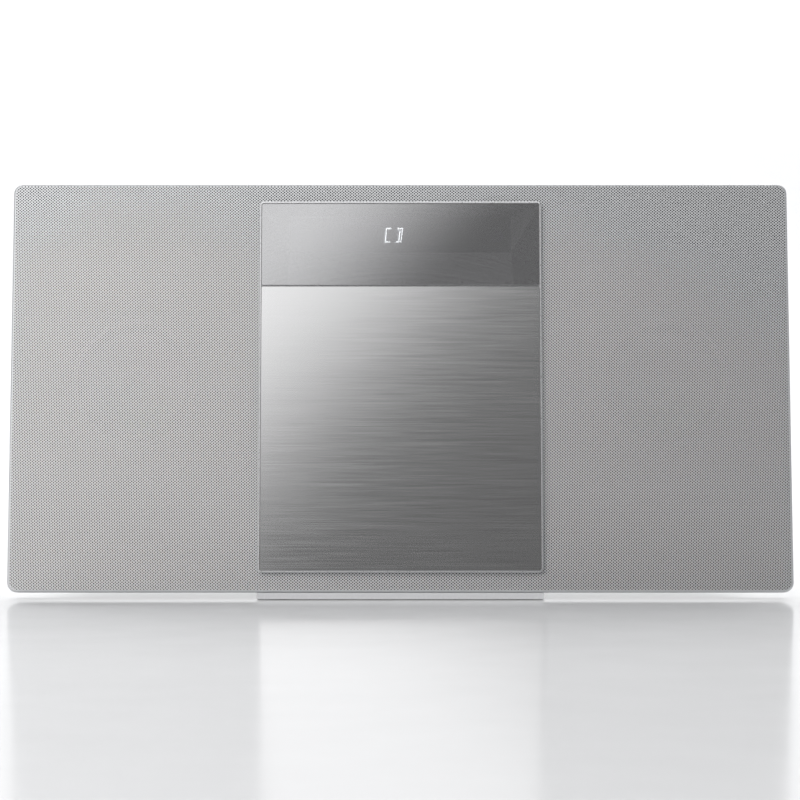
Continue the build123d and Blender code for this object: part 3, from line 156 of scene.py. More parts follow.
# %% Helpers for whole pieces
def fresh(name):
    """Name the primitive that was just added and hand it back."""
    piece = bpy.context.object
    piece.name = name
    piece.data.name = name
    return piece


def apply_modifier(piece, kind, **settings):
    """Add a modifier, set it up and apply it at once."""
    choose(piece)
    modifier = piece.modifiers.new(kind.title(), kind)
    for key, value in settings.items():
        setattr(modifier, key, value)
    bpy.ops.object.modifier_apply(modifier=modifier.name)


def settle(piece, body, material, smooth=None):
    """Apply a piece's place, lean it back with the body, and give it its body and finish."""
    choose(piece)
    bpy.ops.object.transform_apply(location=True, rotation=True, scale=True)
    piece.matrix_world = LEAN
    bpy.ops.object.transform_apply(location=True, rotation=True, scale=True)
    if smooth is not None:
        bpy.ops.object.shade_smooth_by_angle(angle=math.radians(smooth))
    piece.data.materials.clear()
    piece.data.materials.append(material)
    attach(piece, body)
    print("made", piece.name, len(piece.data.polygons), "faces")


# %% [markdown]
# ## Finishes
# Every finish is a small node tree around one Principled shader. A helper makes the shader,
# and a second one adds fine noise, which drives roughness, colour and bump a little. Real
# surfaces are never perfectly even, and that slight unevenness is what makes them look real.

# %% Finish helpers
def finish(name, colour, roughness, metallic=0.0, **sockets):
    """A Principled material with fixed values set on its own sockets."""
    material = bpy.data.materials.new(name)
    material.use_nodes = True
    shader = material.node_tree.nodes["Principled BSDF"]
    shader.inputs["Base Color"].default_value = (*colour, 1.0)
    shader.inputs["Roughness"].default_value = roughness
    shader.inputs["Metallic"].default_value = metallic
    for key, value in sockets.items():
        shader.inputs[key.replace("_", " ")].default_value = value
    return material


def add_node(material, kind, **settings):
    """A node in a material's tree, with its settings."""
    node = material.node_tree.nodes.new(kind)
    for key, value in settings.items():
        if key in node.inputs:
            node.inputs[key].default_value = value
        else:
            setattr(node, key, value)
    return node


def link(material, start, socket, end, target):
    """Join two nodes; a socket is given by its name, or by its number where names repeat."""
    material.node_tree.links.new(start.outputs[socket], end.inputs[target])


def set_range(node, from_low, from_high, to_low, to_high):
    """Set what a Map Range node reads from and writes to."""
    node.inputs["From Min"].default_value = from_low
    node.inputs["From Max"].default_value = from_high
    node.inputs["To Min"].default_value = to_low
    node.inputs["To Max"].default_value = to_high


noise_low = 0.3
noise_high = 0.7


def grain(material, scale, stretch=(1, 1, 1), colour_swing=0.0, rough_swing=0.0, bump=0.0, detail=3.0):
    """Fine noise on a finish: it swings the colour and roughness and raises a slight bump."""
    shader = material.node_tree.nodes["Principled BSDF"]
    place = add_node(material, "ShaderNodeTexCoord")
    turn = add_node(material, "ShaderNodeMapping")
    turn.inputs["Scale"].default_value = stretch
    noise = add_node(material, "ShaderNodeTexNoise", Scale=scale, Detail=detail)
    link(material, place, "Object", turn, "Vector")
    link(material, turn, "Vector", noise, "Vector")
    if colour_swing:
        base = shader.inputs["Base Color"].default_value[:3]
        ramp = add_node(material, "ShaderNodeValToRGB")
        for element, factor in zip(ramp.color_ramp.elements, (1 - colour_swing, 1 + colour_swing)):
            element.color = (*[min(1.0, channel * factor) for channel in base], 1.0)
        ramp.color_ramp.elements[0].position = noise_low
        ramp.color_ramp.elements[1].position = noise_high
        link(material, noise, "Fac", ramp, "Fac")
        link(material, ramp, "Color", shader, "Base Color")
    if rough_swing:
        rough = shader.inputs["Roughness"].default_value
        spread = add_node(material, "ShaderNodeMapRange")
        set_range(spread, noise_low, noise_high, rough - rough_swing, rough + rough_swing)
        link(material, noise, "Fac", spread, "Value")
        link(material, spread, "Result", shader, "Roughness")
    if bump:
        raise_up = add_node(material, "ShaderNodeBump", Strength=1.0, Distance=bump)
        link(material, noise, "Fac", raise_up, "Height")
        link(material, raise_up, "Normal", shader, "Normal")


def dress(material, *names):
    """Put a finish on CAD pieces."""
    for name in names:
        mesh = nodes[name].data
        mesh.materials.clear()
        mesh.materials.append(material)


# %% [markdown]
# ## Silver paint and brushed metal
# The grille and the door's rim are painted silver: a satin metallic coat with fine flakes. The
# door plate is metal brushed sideways, so its hairlines are noise that is stretched along x.

# %% Silver paint and brushed metal
silver_paint = finish("silver_paint", (0.68, 0.685, 0.695), 0.45, 0.72)
grain(silver_paint, 2600, colour_swing=0.05, rough_swing=0.05, bump=0.000002)
silver_rim = finish("silver_rim", (0.62, 0.62, 0.63), 0.3, 0.7)
grain(silver_rim, 1800, colour_swing=0.04, rough_swing=0.04)

brushed_metal = finish("brushed_metal", (0.625, 0.625, 0.63), 0.16, 1.0)
hairline = (0.03, 1, 4)
grain(brushed_metal, 900, hairline, colour_swing=0.05, rough_swing=0.03, bump=0.0000006, detail=4)
dress(silver_rim, "door_frame")
dress(brushed_metal, "door_plate")
print("hairlines are", round(hairline[2] / hairline[0]), "times as long as they are high")

# %% [markdown]
# ## The half mirror
# The window reflects the room and lets the display shine through, so it is a dark metal with
# some transparency. The real pane isn't quite flat. We turn its normals a little sideways with
# a bump that rises evenly along x, which moves the room's reflection over it.

# %% Half mirror
pane_yaw = -0.023
half_mirror = finish("half_mirror", (0.55, 0.55, 0.56), 0.04, 0.9, Alpha=0.72)
grain(half_mirror, 14, rough_swing=0.015)
pane_place = add_node(half_mirror, "ShaderNodeTexCoord")
pane_turn = add_node(half_mirror, "ShaderNodeMapping")
pane_split = add_node(half_mirror, "ShaderNodeSeparateXYZ")
pane_slope = add_node(half_mirror, "ShaderNodeMath", operation="MULTIPLY")
pane_slope.inputs[1].default_value = pane_yaw
pane_tilt = add_node(half_mirror, "ShaderNodeBump", Strength=1.0, Distance=1.0)
link(half_mirror, pane_place, "Object", pane_turn, "Vector")
link(half_mirror, pane_turn, "Vector", pane_split, "Vector")
link(half_mirror, pane_split, "X", pane_slope, 0)
link(half_mirror, pane_slope, "Value", pane_tilt, "Height")
link(half_mirror, pane_tilt, "Normal", half_mirror.node_tree.nodes["Principled BSDF"], "Normal")
dress(half_mirror, "door_window")
print("the pane is turned by", abs(round(math.degrees(pane_yaw), 1)), "degrees")

# %% [markdown]
# ## Plastics and metals of the body
# The back is moulded in pale plastic with a spark-eroded grain and the stand is painted metal.
# Inside are black mouldings, milky running parts and steel rods. Turned and rolled metal has
# its grain stretched along the way it was worked.

# %% Plastics and metals
white_moulding = finish("white_moulding", (0.66, 0.66, 0.67), 0.5)
grain(white_moulding, 1400, colour_swing=0.03, rough_swing=0.06, bump=0.00002)
white_metal = finish("white_metal", (0.78, 0.78, 0.79), 0.35)
grain(white_metal, 900, colour_swing=0.02, rough_swing=0.05, bump=0.000004)
dark_moulding = finish("dark_moulding", (0.025, 0.025, 0.028), 0.45)
grain(dark_moulding, 1500, colour_swing=0.15, rough_swing=0.08, bump=0.00002)
milky_plastic = finish("milky_plastic", (0.72, 0.70, 0.64), 0.42)
grain(milky_plastic, 600, colour_swing=0.03, rough_swing=0.05)
bright_steel = finish("bright_steel", (0.62, 0.62, 0.63), 0.2, 1.0)
grain(bright_steel, 500, stretch=(0.1, 1, 1), colour_swing=0.05, rough_swing=0.05)
screw_steel = finish("screw_steel", (0.32, 0.32, 0.33), 0.35, 1.0)
grain(screw_steel, 900, colour_swing=0.1, rough_swing=0.1, bump=0.000005)
print(len(bpy.data.materials), "finishes so far")

# %% [markdown]
# ## Rubber, boards, paper and glass
# The feet and dampers are matt rubber, the boards are green lacquer, the cones are black paper
# with a rough bump, and the lens and the display are dark glass. The lit sign glows by itself,
# brighter than anything it reflects, so that it reads through the half mirror.

# %% Rubber, boards, paper and glass
black_rubber = finish("black_rubber", (0.02, 0.02, 0.02), 0.75)
grain(black_rubber, 1200, colour_swing=0.2, rough_swing=0.1, bump=0.00002)
green_board = finish("green_board", (0.02, 0.13, 0.05), 0.35)
grain(green_board, 300, colour_swing=0.25, rough_swing=0.08)
dark_steel = finish("dark_steel", (0.05, 0.05, 0.055), 0.4, 0.6)
grain(dark_steel, 900, colour_swing=0.15, rough_swing=0.1)
cone_paper = finish("cone_paper", (0.05, 0.05, 0.055), 0.8)
grain(cone_paper, 1800, colour_swing=0.3, rough_swing=0.1, bump=0.00003)
lens_glass = finish("lens_glass", (0.10, 0.05, 0.20), 0.05, 0.3)
grain(lens_glass, 200, colour_swing=0.2)
display_glass = finish("display_glass", (0.010, 0.010, 0.012), 0.12)
grain(display_glass, 400, colour_swing=0.2, rough_swing=0.03)
sink_aluminium = finish("sink_aluminium", (0.70, 0.70, 0.71), 0.35, 1.0)
grain(sink_aluminium, 500, stretch=(1, 1, 0.1), colour_swing=0.06, rough_swing=0.08)
lit_segment = finish("lit_segment", (0.9, 0.93, 1.0), 0.4, Emission_Strength=9.0)
segment_shader = lit_segment.node_tree.nodes["Principled BSDF"]
segment_shader.inputs["Emission Color"].default_value = (0.92, 0.96, 1, 1)
grain(lit_segment, 300, colour_swing=0.02)
print(len(bpy.data.materials), "finishes in all")

# %% [markdown]
# ## Dressing the CAD pieces
# Each CAD piece gets one finish. The CAD names say what a piece is, so the lists read like a
# parts list. At the end we make sure that no piece was forgotten.

# %% Dress the CAD pieces
button_names = [name for name in nodes if name.startswith("button_")]
dress(silver_rim, *button_names)
dress(white_moulding, "rear_cabinet", "control_strip")
dress(white_metal, "stand")
dress(dark_moulding, "front_frame", "cd_well", "cd_chassis", "turntable", "pickup_sled")
dress(dark_moulding, "terminal_plate", "mains_inlet", "headphone_socket", "filter_capacitors")
dress(milky_plastic, "door_runner_upper", "door_runner_lower", "drive_bracket", "hub_jaws")
dress(milky_plastic, "drive_gear", "sled_gear", "door_motor_gear", "sled_motor_gear")
dress(bright_steel, "door_rod_upper", "door_rod_lower", "sled_rods", "aerial_socket", "usb_socket")
dress(bright_steel, "door_motor", "sled_motor", "spindle_motor")
dress(screw_steel, "body_screws", "board_screws", "stand_screws", "door_screws")
dress(black_rubber, "rubber_feet", "chassis_dampers", "speaker_surrounds")
dress(green_board, "main_board", "power_board", "key_board")
dress(dark_steel, "left_speaker_basket", "right_speaker_basket", "speaker_magnets", "transformer")
dress(cone_paper, "left_speaker_cone", "right_speaker_cone")
dress(lens_glass, "pickup_lens", "remote_sensor")
dress(display_glass, "display_module")
dress(sink_aluminium, "heat_sink")
dress(lit_segment, "display_segments")
bare = [name for name in nodes if not nodes[name].data.materials and name != "grille"]
print("pieces without a finish:", bare)

# %% [markdown]
# ## The perforated sheet: one tile
# The grille is sheet metal with tens of thousands of tiny holes in staggered rows. We model
# one tile with two holes and let Array modifiers repeat it. Each hole sits in a quarter of the
# tile: a ring of faces between the quarter's edge and a six-sided hole, and short walls
# through the sheet. The other two quarters are plain. Six sides are enough for a hole that is
# less than a millimetre wide. First the sizes, from the panel's own.

# %% Sizes of the perforation
sheet = 0.8 * MM
roll = 1.2 * MM
corner = 5 * MM
wanted_pitch_x = 1.7 * MM
wanted_pitch_z = 1.445 * MM
columns = round((panel_width - 2 * roll) / wanted_pitch_x)
rows = round((panel_height - 2 * roll) / wanted_pitch_z)
pitch_x = (panel_width - 2 * roll) / columns
pitch_z = (panel_height - 2 * roll) / rows
hole_radius = 0.415 * MM
front_y = panel_low.y
field_x = panel_low.x + roll
field_z = panel_low.z + roll
print(columns, "by", rows, "tiles of", round(pitch_x / MM, 3), "x", round(pitch_z / MM, 3), "mm")

# %% [markdown]
# ## A quarter with a hole and a quarter without
# The holed quarter starts as a six-sided ring. Its edges are extruded outwards, and the new
# points are moved to the quarter's corners. The hole's own edges are extruded again, back
# through the sheet. The plain quarter gets a middle point on its upright sides, so that it
# meets its neighbours point to point.

# %% The two kinds of quarter
merge_distance = 1e-7


def drop_double_points(piece):
    """Merge points that lie on each other."""
    edit(piece)
    bpy.ops.mesh.select_all(action="SELECT")
    bpy.ops.mesh.remove_doubles(threshold=merge_distance)
    done()


def holed_quarter(x, z):
    """A quarter tile with a hole, its middle at (x, z): a ring of faces and walls through the sheet."""
    bpy.ops.object.select_all(action="DESELECT")
    bpy.ops.mesh.primitive_circle_add(
        vertices=6, radius=hole_radius, rotation=(math.pi / 2, math.pi / 6, 0)
    )
    ring = fresh("holed_quarter")
    bpy.ops.object.transform_apply(location=True, rotation=True, scale=True)
    reach = pitch_x / 2
    edit(ring)
    bpy.ops.mesh.select_all(action="SELECT")
    bpy.ops.mesh.extrude_edges_move(TRANSFORM_OT_translate={"value": (0, 0, 0)})
    bpy.ops.transform.resize(value=(reach / hole_radius, 1, reach / hole_radius))
    # the outer six points go to the quarter's corners and to the middles of its upright sides
    outer = reach * 0.7
    pick(ring, "VERT", lambda middle, item: middle.length > outer and abs(middle.z) > outer / 2)
    bpy.ops.transform.resize(value=(1, 1, pitch_z / 2 / (reach * math.sqrt(3))))
    pick(ring, "VERT", lambda middle, item: abs(middle.x) > outer)
    bpy.ops.transform.resize(value=(0.5, 1, 1))
    points = ring.data.vertices
    pick(
        ring,
        "EDGE",
        lambda middle, item: all(
            abs(points[index].co.length - hole_radius) < hole_radius / 1000 for index in item.vertices
        ),
    )
    bpy.ops.mesh.extrude_edges_move(TRANSFORM_OT_translate={"value": (0, sheet, 0)})
    done()
    ring.location = (x, 0, z)
    return ring


def plain_quarter(x, z):
    """A quarter tile with no hole, with middle points on its upright sides to match its neighbours."""
    bpy.ops.object.select_all(action="DESELECT")
    bpy.ops.mesh.primitive_plane_add(size=1, rotation=(math.pi / 2, 0, 0))
    plain = fresh("plain_quarter")
    bpy.ops.object.transform_apply(location=True, rotation=True, scale=True)
    edit(plain)
    pick(plain, "EDGE", lambda middle, item: abs(middle.z) < merge_distance)
    bpy.ops.mesh.subdivide(number_cuts=1)
    done()
    plain.scale = (pitch_x / 2, 1, pitch_z / 2)
    plain.location = (x, 0, z)
    return plain


# %% [markdown]
# ## The tile
# Two holed and two plain quarters, set crosswise, make the staggered pattern. They are joined
# and their shared points merged, and then the normals are made to agree before the tile is
# repeated.

# %% One tile
def make_tile():
    """One tile of the sheet, its lower left corner at x 0, z 0, facing -y."""
    low_x, high_x = pitch_x / 4, pitch_x * 3 / 4
    low_z, high_z = pitch_z / 4, pitch_z * 3 / 4
    quarters = [
        holed_quarter(low_x, low_z),
        holed_quarter(high_x, high_z),
        plain_quarter(high_x, low_z),
        plain_quarter(low_x, high_z),
    ]
    bpy.ops.object.select_all(action="DESELECT")
    for quarter in quarters:
        quarter.select_set(True)
    bpy.context.view_layer.objects.active = quarters[0]
    bpy.ops.object.join()
    tile = fresh("tile")
    bpy.ops.object.transform_apply(location=True, rotation=True, scale=True)
    drop_double_points(tile)
    edit(tile)
    bpy.ops.mesh.select_all(action="SELECT")
    bpy.ops.mesh.normals_make_consistent(inside=False)
    done()
    face = max(tile.data.polygons, key=lambda polygon: abs(polygon.normal.y))
    if face.normal.y > 0:
        edit(tile)
        bpy.ops.mesh.select_all(action="SELECT")
        bpy.ops.mesh.flip_normals()
        done()
    return tile


tile = make_tile()
print("tile", len(tile.data.vertices), "points", len(tile.data.polygons), "faces")

# %% [markdown]
# ## The fields of holes
# The tile is repeated over each region of the front. The door's opening stays free, and the
# four rounded corners are cut by planes that follow the corner's curve. A field of 24 columns
# is as large as we let one piece grow.

# %% Regions of the front
corner_steps = 6
field_columns = 24
opening_low, opening_high = upright_box("door_frame")
opening_cover = 1.75 * MM
opening_low.x += opening_cover
opening_low.z += opening_cover
opening_high.x -= opening_cover
opening_high.z -= opening_cover
side_columns = int((opening_low.x - field_x) / pitch_x)
low_rows = int((opening_low.z - field_z) / pitch_z)
high_rows = int((field_z + rows * pitch_z - opening_high.z) / pitch_z)
edge_columns = side_columns % field_columns
print(side_columns, "columns beside the door,", low_rows, "rows under it,", high_rows, "over it")

# %% [markdown]
# ## Repeating and rounding
# Two Array modifiers repeat the tile, one sideways and one upwards, and merge the shared
# points. A corner is rounded by bisecting the field with one plane after another, each turned
# a little further round the corner's arc.

# %% Helpers for the fields

def copy_piece(piece, name):
    """A copy of a piece with a mesh of its own."""
    choose(piece)
    bpy.ops.object.duplicate()
    return fresh(name)


def field(name, first_column, first_row, column_count, row_count):
    """Tiles repeated over a block of columns and rows."""
    piece = copy_piece(tile, name)
    for count, step in ((column_count, (pitch_x, 0, 0)), (row_count, (0, 0, pitch_z))):
        apply_modifier(
            piece,
            "ARRAY",
            count=count,
            use_relative_offset=False,
            use_constant_offset=True,
            constant_offset_displace=step,
            use_merge_vertices=True,
            merge_threshold=10 * merge_distance,
        )
    piece.location = (field_x + first_column * pitch_x, front_y, field_z + first_row * pitch_z)
    bpy.ops.object.transform_apply(location=True, rotation=False, scale=False)
    return piece


def round_corner(piece, side, top):
    """Cut a corner of a field along the arc of the panel's corner."""
    inner = corner - roll
    centre = Vector(
        (
            (panel_high.x - corner) if side > 0 else (panel_low.x + corner),
            front_y,
            (panel_high.z - corner) if top > 0 else (panel_low.z + corner),
        )
    )
    for index in range(corner_steps):
        angle = math.radians(90) * (index + 0.5) / corner_steps
        reach = inner * math.cos(math.radians(45) / corner_steps)
        outward = Vector((side * math.cos(angle), 0, top * math.sin(angle)))
        edit(piece)
        bpy.ops.mesh.select_all(action="SELECT")
        bpy.ops.mesh.bisect(plane_co=centre + outward * reach, plane_no=outward, clear_outer=True)
        done()


# %% [markdown]
# ## Laying out the fields
# Each half of the front has one narrow field at its outer edge, with the rounded corners, and
# three wide ones. Two low fields run under and over the door. All of them together stand for
# the CAD grille.

# %% The fields
grille_pieces = []
for side, word in ((-1, "left"), (1, "right")):
    edge_start = 0 if side < 0 else columns - edge_columns
    edge = field("grille_" + word + "_edge", edge_start, 0, edge_columns, rows)
    round_corner(edge, side, 1)
    round_corner(edge, side, -1)
    grille_pieces.append(edge)
    for index in range(side_columns // field_columns):
        start = edge_columns + field_columns * index
        if side > 0:
            start = columns - start - field_columns
        name = "grille_" + word + "_" + str(index + 1)
        grille_pieces.append(field(name, start, 0, field_columns, rows))
middle_columns = columns - 2 * side_columns
for name, start, count in (
    ("grille_under_door", 0, low_rows),
    ("grille_over_door", rows - high_rows, high_rows),
):
    grille_pieces.append(field(name, side_columns, start, middle_columns, count))
bpy.data.objects.remove(tile)
for piece in grille_pieces:
    settle(piece, "main_unit", silver_paint)
    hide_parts("grille")

# %% [markdown]
# ## The folded edge of the grille
# The sheet rolls over at the panel's edge and runs back as a flange. A cube gets its upright
# corners and its front edge bevelled, then the back and the flat front are taken away, because
# the fields of holes fill the front. Solidify gives the flange the sheet's thickness.

# %% Folded edge
flange = panel_high.y - panel_low.y
bpy.ops.object.select_all(action="DESELECT")
bpy.ops.mesh.primitive_cube_add(
    size=1, location=(0, front_y + flange / 2, (panel_low.z + panel_high.z) / 2)
)
rim = fresh("grille_folded_edge")
rim.scale = (panel_width, flange, panel_height)
bpy.ops.object.transform_apply(location=True, rotation=True, scale=True)
edit(rim)
pick(rim, "EDGE", lambda middle, item: abs(middle.y - front_y - flange / 2) < MM)
bpy.ops.mesh.bevel(offset=corner, segments=corner_steps, affect="EDGES")
pick(rim, "FACE", lambda middle, item: item.normal.y < -0.9)
bpy.ops.mesh.bevel(offset=roll, segments=4, affect="EDGES")
pick(rim, "FACE", lambda middle, item: abs(item.normal.y) > 0.999)
bpy.ops.mesh.delete(type="FACE")
done()
drop_double_points(rim)
apply_modifier(rim, "SOLIDIFY", thickness=sheet, offset=-1, use_even_offset=True)
settle(rim, "main_unit", silver_paint, smooth=40)
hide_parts("grille")

# %% [markdown]
# ## The edge of the door's opening
# Between the last holes and the opening runs a narrow plain border. A plane the size of the
# hole-free region is inset to the opening, and the middle is pushed back and removed, which
# leaves the border and the cut edge of the sheet.

# %% Border of the opening
border_low = Vector((field_x + side_columns * pitch_x, front_y, field_z + low_rows * pitch_z))
border_high = Vector((-border_low.x, front_y, field_z + (rows - high_rows) * pitch_z))
bpy.ops.object.select_all(action="DESELECT")
bpy.ops.mesh.primitive_plane_add(
    size=1, rotation=(math.pi / 2, 0, 0), location=(border_low + border_high) / 2
)
border = fresh("grille_opening_border")
border.scale = (border_high.x - border_low.x, border_high.z - border_low.z, 1)
bpy.ops.object.transform_apply(location=True, rotation=True, scale=True)
edit(border)
bpy.ops.mesh.select_all(action="SELECT")
inset = 0.4 * MM
bpy.ops.mesh.inset(thickness=inset)
bpy.ops.transform.resize(
    value=(
        (opening_high.x - opening_low.x) / (border_high.x - border_low.x - 2 * inset),
        1,
        (opening_high.z - opening_low.z) / (border_high.z - border_low.z - 2 * inset),
    )
)
bpy.ops.mesh.extrude_region_move(TRANSFORM_OT_translate={"value": (0, sheet, 0)})
bpy.ops.mesh.delete(type="FACE")
done()
settle(border, "main_unit", silver_paint)
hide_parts("grille")

# %% [markdown]
# ## Raised signs on the buttons
# Each button on the top strip carries a small raised sign: a ring with a stroke for power, two
# arrowheads for the source, a square, a triangle, a minus, a plus, and a triangle over a bar
# for the door. A sign is made of flat shapes that are pushed up by a tenth of a millimetre and
# bevelled on top. It rides on its button, so it goes down when the button is pressed.

# %% Button signs
sign_rise = 0.12 * MM
sign_sink = 0.02 * MM
sign_bevel = 0.03 * MM
sign_paint = finish("sign_grey", (0.16, 0.16, 0.17), 0.4)
grain(sign_paint, 900, colour_swing=0.08, rough_swing=0.05)


def raised_shape(sides, radius, turn, place, width=1.0, depth=1.0):
    """A flat regular shape with a raised, bevelled top; width and depth stretch it along x and y."""
    bpy.ops.object.select_all(action="DESELECT")
    bpy.ops.mesh.primitive_circle_add(
        vertices=sides, radius=radius, fill_type="NGON", rotation=(0, 0, math.radians(turn))
    )
    shape = fresh("raised_shape")
    bpy.ops.object.transform_apply(location=True, rotation=True, scale=True)
    shape.scale = (width, depth, 1)
    bpy.ops.object.transform_apply(location=True, rotation=True, scale=True)
    edit(shape)
    bpy.ops.mesh.select_all(action="SELECT")
    bpy.ops.mesh.extrude_region_move(TRANSFORM_OT_translate={"value": (0, 0, sign_rise)})
    bpy.ops.mesh.select_all(action="SELECT")
    bpy.ops.mesh.normals_make_consistent(inside=False)
    pick(shape, "EDGE", lambda middle, item: middle.z > sign_rise * 0.9)
    bpy.ops.mesh.bevel(offset=sign_bevel, segments=1, affect="EDGES")
    done()
    shape.location = place
    return shape


def raised_ring(outer, inner, place):
    """A raised ring."""
    bpy.ops.object.select_all(action="DESELECT")
    bpy.ops.mesh.primitive_circle_add(vertices=32, radius=outer, fill_type="NGON")
    ring = fresh("raised_ring")
    edit(ring)
    bpy.ops.mesh.select_all(action="SELECT")
    bpy.ops.mesh.inset(thickness=outer - inner)
    bpy.ops.mesh.delete(type="FACE")
    done()
    apply_modifier(ring, "SOLIDIFY", thickness=sign_rise, offset=1)
    ring.location = place
    return ring


def button_sign(button, shapes):
    """Join a button's shapes and set them on its top; each shape's place is counted from the middle."""
    low, high = upright_box(button)
    bpy.ops.object.select_all(action="DESELECT")
    for shape in shapes:
        shape.select_set(True)
    bpy.context.view_layer.objects.active = shapes[0]
    bpy.ops.object.transform_apply(location=True, rotation=True, scale=True)
    if len(shapes) > 1:
        bpy.ops.object.join()
    sign = fresh(button + "_sign")
    sign.location = ((low.x + high.x) / 2, (low.y + high.y) / 2, high.z - sign_sink)
    settle(sign, body_of(nodes[button])[0], sign_paint)


# %% [markdown]
# ## Seven signs
# The shapes are placed around the middle of each button. A three-sided circle is a triangle
# and a four-sided one, turned by 45 degrees, a square. Stretched, the square is a bar.

# %% The seven signs
button_sign(
    "button_power",
    [
        raised_ring(1.5 * MM, 1.15 * MM, (0, 0, 0)),
        raised_shape(4, 0.25 * MM, 45, (0, 1.1 * MM, 0), depth=4),
    ],
)
button_sign(
    "button_source",
    [
        raised_shape(3, 1.1 * MM, 90, (-1.3 * MM, 0, 0)),
        raised_shape(3, 1.1 * MM, -90, (1.3 * MM, 0, 0)),
    ],
)
button_sign("button_stop", [raised_shape(4, 1.6 * MM, 45, (0, 0, 0))])
button_sign("button_play", [raised_shape(3, 1.5 * MM, -90, (0, 0, 0))])
button_sign("button_volume_down", [raised_shape(4, 0.3 * MM, 45, (0, 0, 0), width=6)])
button_sign(
    "button_volume_up",
    [
        raised_shape(4, 0.3 * MM, 45, (0, 0, 0), width=6),
        raised_shape(4, 0.3 * MM, 45, (0, 0.75 * MM, 0), depth=2.4),
        raised_shape(4, 0.3 * MM, 45, (0, -0.75 * MM, 0), depth=2.4),
    ],
)
button_sign(
    "button_door",
    [
        raised_shape(3, 1.3 * MM, 0, (0, 0.45 * MM, 0)),
        raised_shape(4, 0.3 * MM, 45, (0, -0.9 * MM, 0), width=5.3),
    ],
)

# %% [markdown]
# ## Floor and backdrop
# A pale glossy floor runs back and curves up into the backdrop, so no horizon shows. It is a
# plane whose back edge is extruded upwards, and the fold between the two is bevelled.

# %% Floor
floor_width = 12
floor_depth = 9
floor_middle = -1.5
wall_height = 5
fold_radius = 1.5
fold_y = floor_middle + floor_depth / 2
near = 0.1
bpy.ops.object.select_all(action="DESELECT")
bpy.ops.mesh.primitive_plane_add(size=1, location=(0, 0, 0))
floor = fresh("floor")
floor.scale = (floor_width, floor_depth, 1)
floor.location = (0, floor_middle, 0)
bpy.ops.object.transform_apply(location=True, rotation=True, scale=True)
edit(floor)
pick(floor, "EDGE", lambda middle, item: middle.y > fold_y - near)
bpy.ops.mesh.extrude_region_move(TRANSFORM_OT_translate={"value": (0, 0, wall_height)})
fold = Vector((0, fold_y, 0))
pick(floor, "EDGE", lambda middle, item: (middle - fold).length < near)
bpy.ops.mesh.bevel(offset=fold_radius, segments=16, affect="EDGES")
done()
bpy.ops.object.shade_smooth()
floor_finish = finish("pale_floor", (0.80, 0.80, 0.805), 0.14, Emission_Strength=0.06)
floor_finish.node_tree.nodes["Principled BSDF"].inputs["Emission Color"].default_value = (1, 1, 1, 1)
grain(floor_finish, 30, colour_swing=0.006, rough_swing=0.01)
floor.data.materials.append(floor_finish)
print("floor", floor_width, "by", floor_depth, "m,", len(floor.data.polygons), "faces")

# %% [markdown]
# ## The glowing card
# The front leans back, so it mirrors what hangs above and behind the camera. There a large
# card glows, and it gives the metal its gradient. The card itself is hidden from the camera.

# %% Card
card_width = 5
card_height = 3
bpy.ops.object.select_all(action="DESELECT")
bpy.ops.mesh.primitive_plane_add(
    size=1, rotation=(math.pi / 2, 0, 0), location=(0, -2.6, card_height / 2)
)
card = fresh("glowing_card")
card.scale = (card_width, card_height, 1)
bpy.ops.object.transform_apply(location=True, rotation=True, scale=True)
card.visible_camera = False
print("card", card_width, "by", card_height, "m")

# %% [markdown]
# ## The card's glow
# Three ranges are multiplied. Across a slanted border the glow falls from bright to dim. From
# the bottom upwards it grows a little. And towards the far left it grows again, for the left
# half of the grille.

# %% Glow of the card
glow = bpy.data.materials.new("glow")
glow.use_nodes = True
glow.node_tree.nodes.clear()
border_at = -0.56
border_soft = 0.14
border_slant = math.radians(-42)
bright = 1.47
dim = 0.20
place = add_node(glow, "ShaderNodeTexCoord")
turn = add_node(glow, "ShaderNodeMapping")
turn.inputs["Rotation"].default_value = (0, border_slant, 0)
slant = add_node(glow, "ShaderNodeSeparateXYZ")
straight = add_node(glow, "ShaderNodeMapping")
split = add_node(glow, "ShaderNodeSeparateXYZ")
across = add_node(glow, "ShaderNodeMapRange", interpolation_type="SMOOTHSTEP")
up = add_node(glow, "ShaderNodeMapRange")
leftwards = add_node(glow, "ShaderNodeMapRange")
set_range(across, border_at - border_soft, border_at + border_soft, bright, dim)
set_range(up, 0.30, 0.90, 0.75, 1.0)
set_range(leftwards, -0.4, -1.8, 1.0, 2.6)
two = add_node(glow, "ShaderNodeMath", operation="MULTIPLY")
all_three = add_node(glow, "ShaderNodeMath", operation="MULTIPLY")
glow_light = add_node(glow, "ShaderNodeEmission")
output = add_node(glow, "ShaderNodeOutputMaterial")
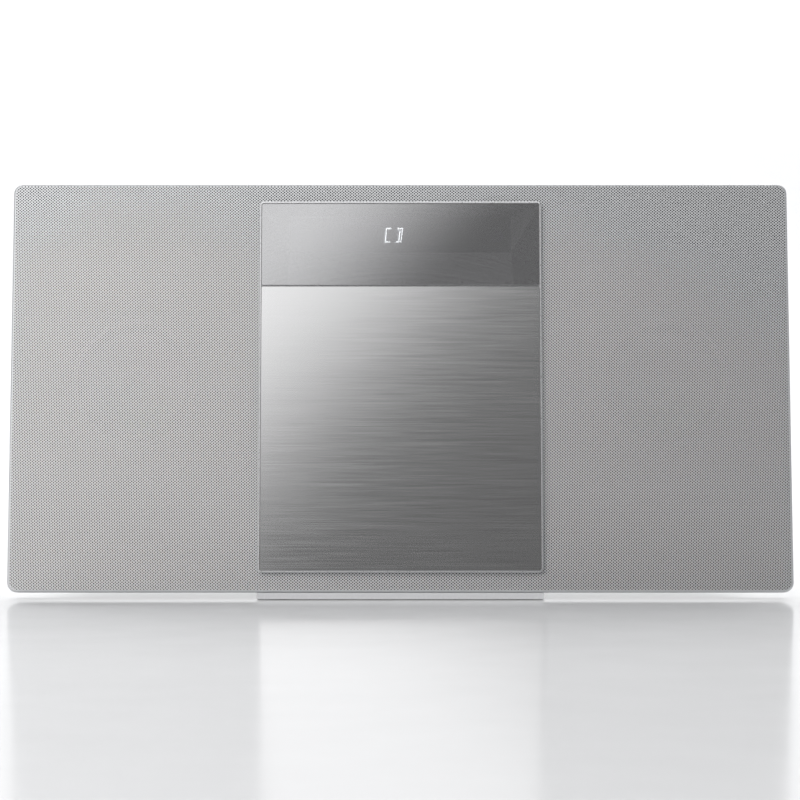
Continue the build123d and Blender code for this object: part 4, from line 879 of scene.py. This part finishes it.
for start, socket, end, target in (
    (place, "Object", turn, "Vector"),
    (turn, "Vector", slant, "Vector"),
    (place, "Object", straight, "Vector"),
    (straight, "Vector", split, "Vector"),
    (slant, "X", across, "Value"),
    (split, "Z", up, "Value"),
    (split, "X", leftwards, "Value"),
    (across, "Result", two, 0),
    (up, "Result", two, 1),
    (two, "Value", all_three, 0),
    (leftwards, "Result", all_three, 1),
    (all_three, "Value", glow_light, "Strength"),
    (glow_light, "Emission", output, "Surface"),
):
    link(glow, start, socket, end, target)
card.data.materials.append(glow)
print("the glow falls from", bright, "to", dim)

# %% [markdown]
# ## Lamp and world
# A wide soft lamp behind the panel lights the floor and the backdrop, and a pale world fills
# the shadows.

# %% Lamp and world
def area_light(name, place, target, width, height, power):
    """A soft rectangular lamp that points at a target."""
    lamp = bpy.data.lights.new(name, "AREA")
    lamp.shape = "RECTANGLE"
    lamp.size = width
    lamp.size_y = height
    lamp.energy = power
    holder = bpy.data.objects.new(name, lamp)
    bpy.context.collection.objects.link(holder)
    holder.location = place
    holder.rotation_euler = (Vector(target) - Vector(place)).to_track_quat("-Z", "Y").to_euler()
    holder.visible_camera = False
    return holder


top_lamp = area_light("top_lamp", (0, 1.6, 2.4), (0, 0.4, 0), 4.0, 2.0, 80)
world = bpy.data.worlds.new("studio")
world.use_nodes = True
sky = world.node_tree.nodes["Background"]
sky.inputs["Color"].default_value = (0.95, 0.97, 1.0, 1)
sky.inputs["Strength"].default_value = 0.38
bpy.context.scene.world = world
print("lamp", top_lamp.data.energy, "W")

# %% [markdown]
# ## Camera
# A long lens at the height of the panel's middle, level and straight on, keeps the sides
# nearly parallel.

# %% Camera
bpy.ops.object.camera_add(location=(-0.0002, -1.169, 0.1016), rotation=(math.pi / 2, 0, 0))
camera = bpy.context.object
camera.name = "camera"
camera.data.lens = 99
camera.data.sensor_width = 36
camera.data.clip_start = 0.05
camera.data.clip_end = 50
bpy.context.scene.camera = camera
bpy.context.scene.view_settings.view_transform = "Standard"
print("lens", camera.data.lens, "mm,", round(-camera.location.y, 2), "m in front")
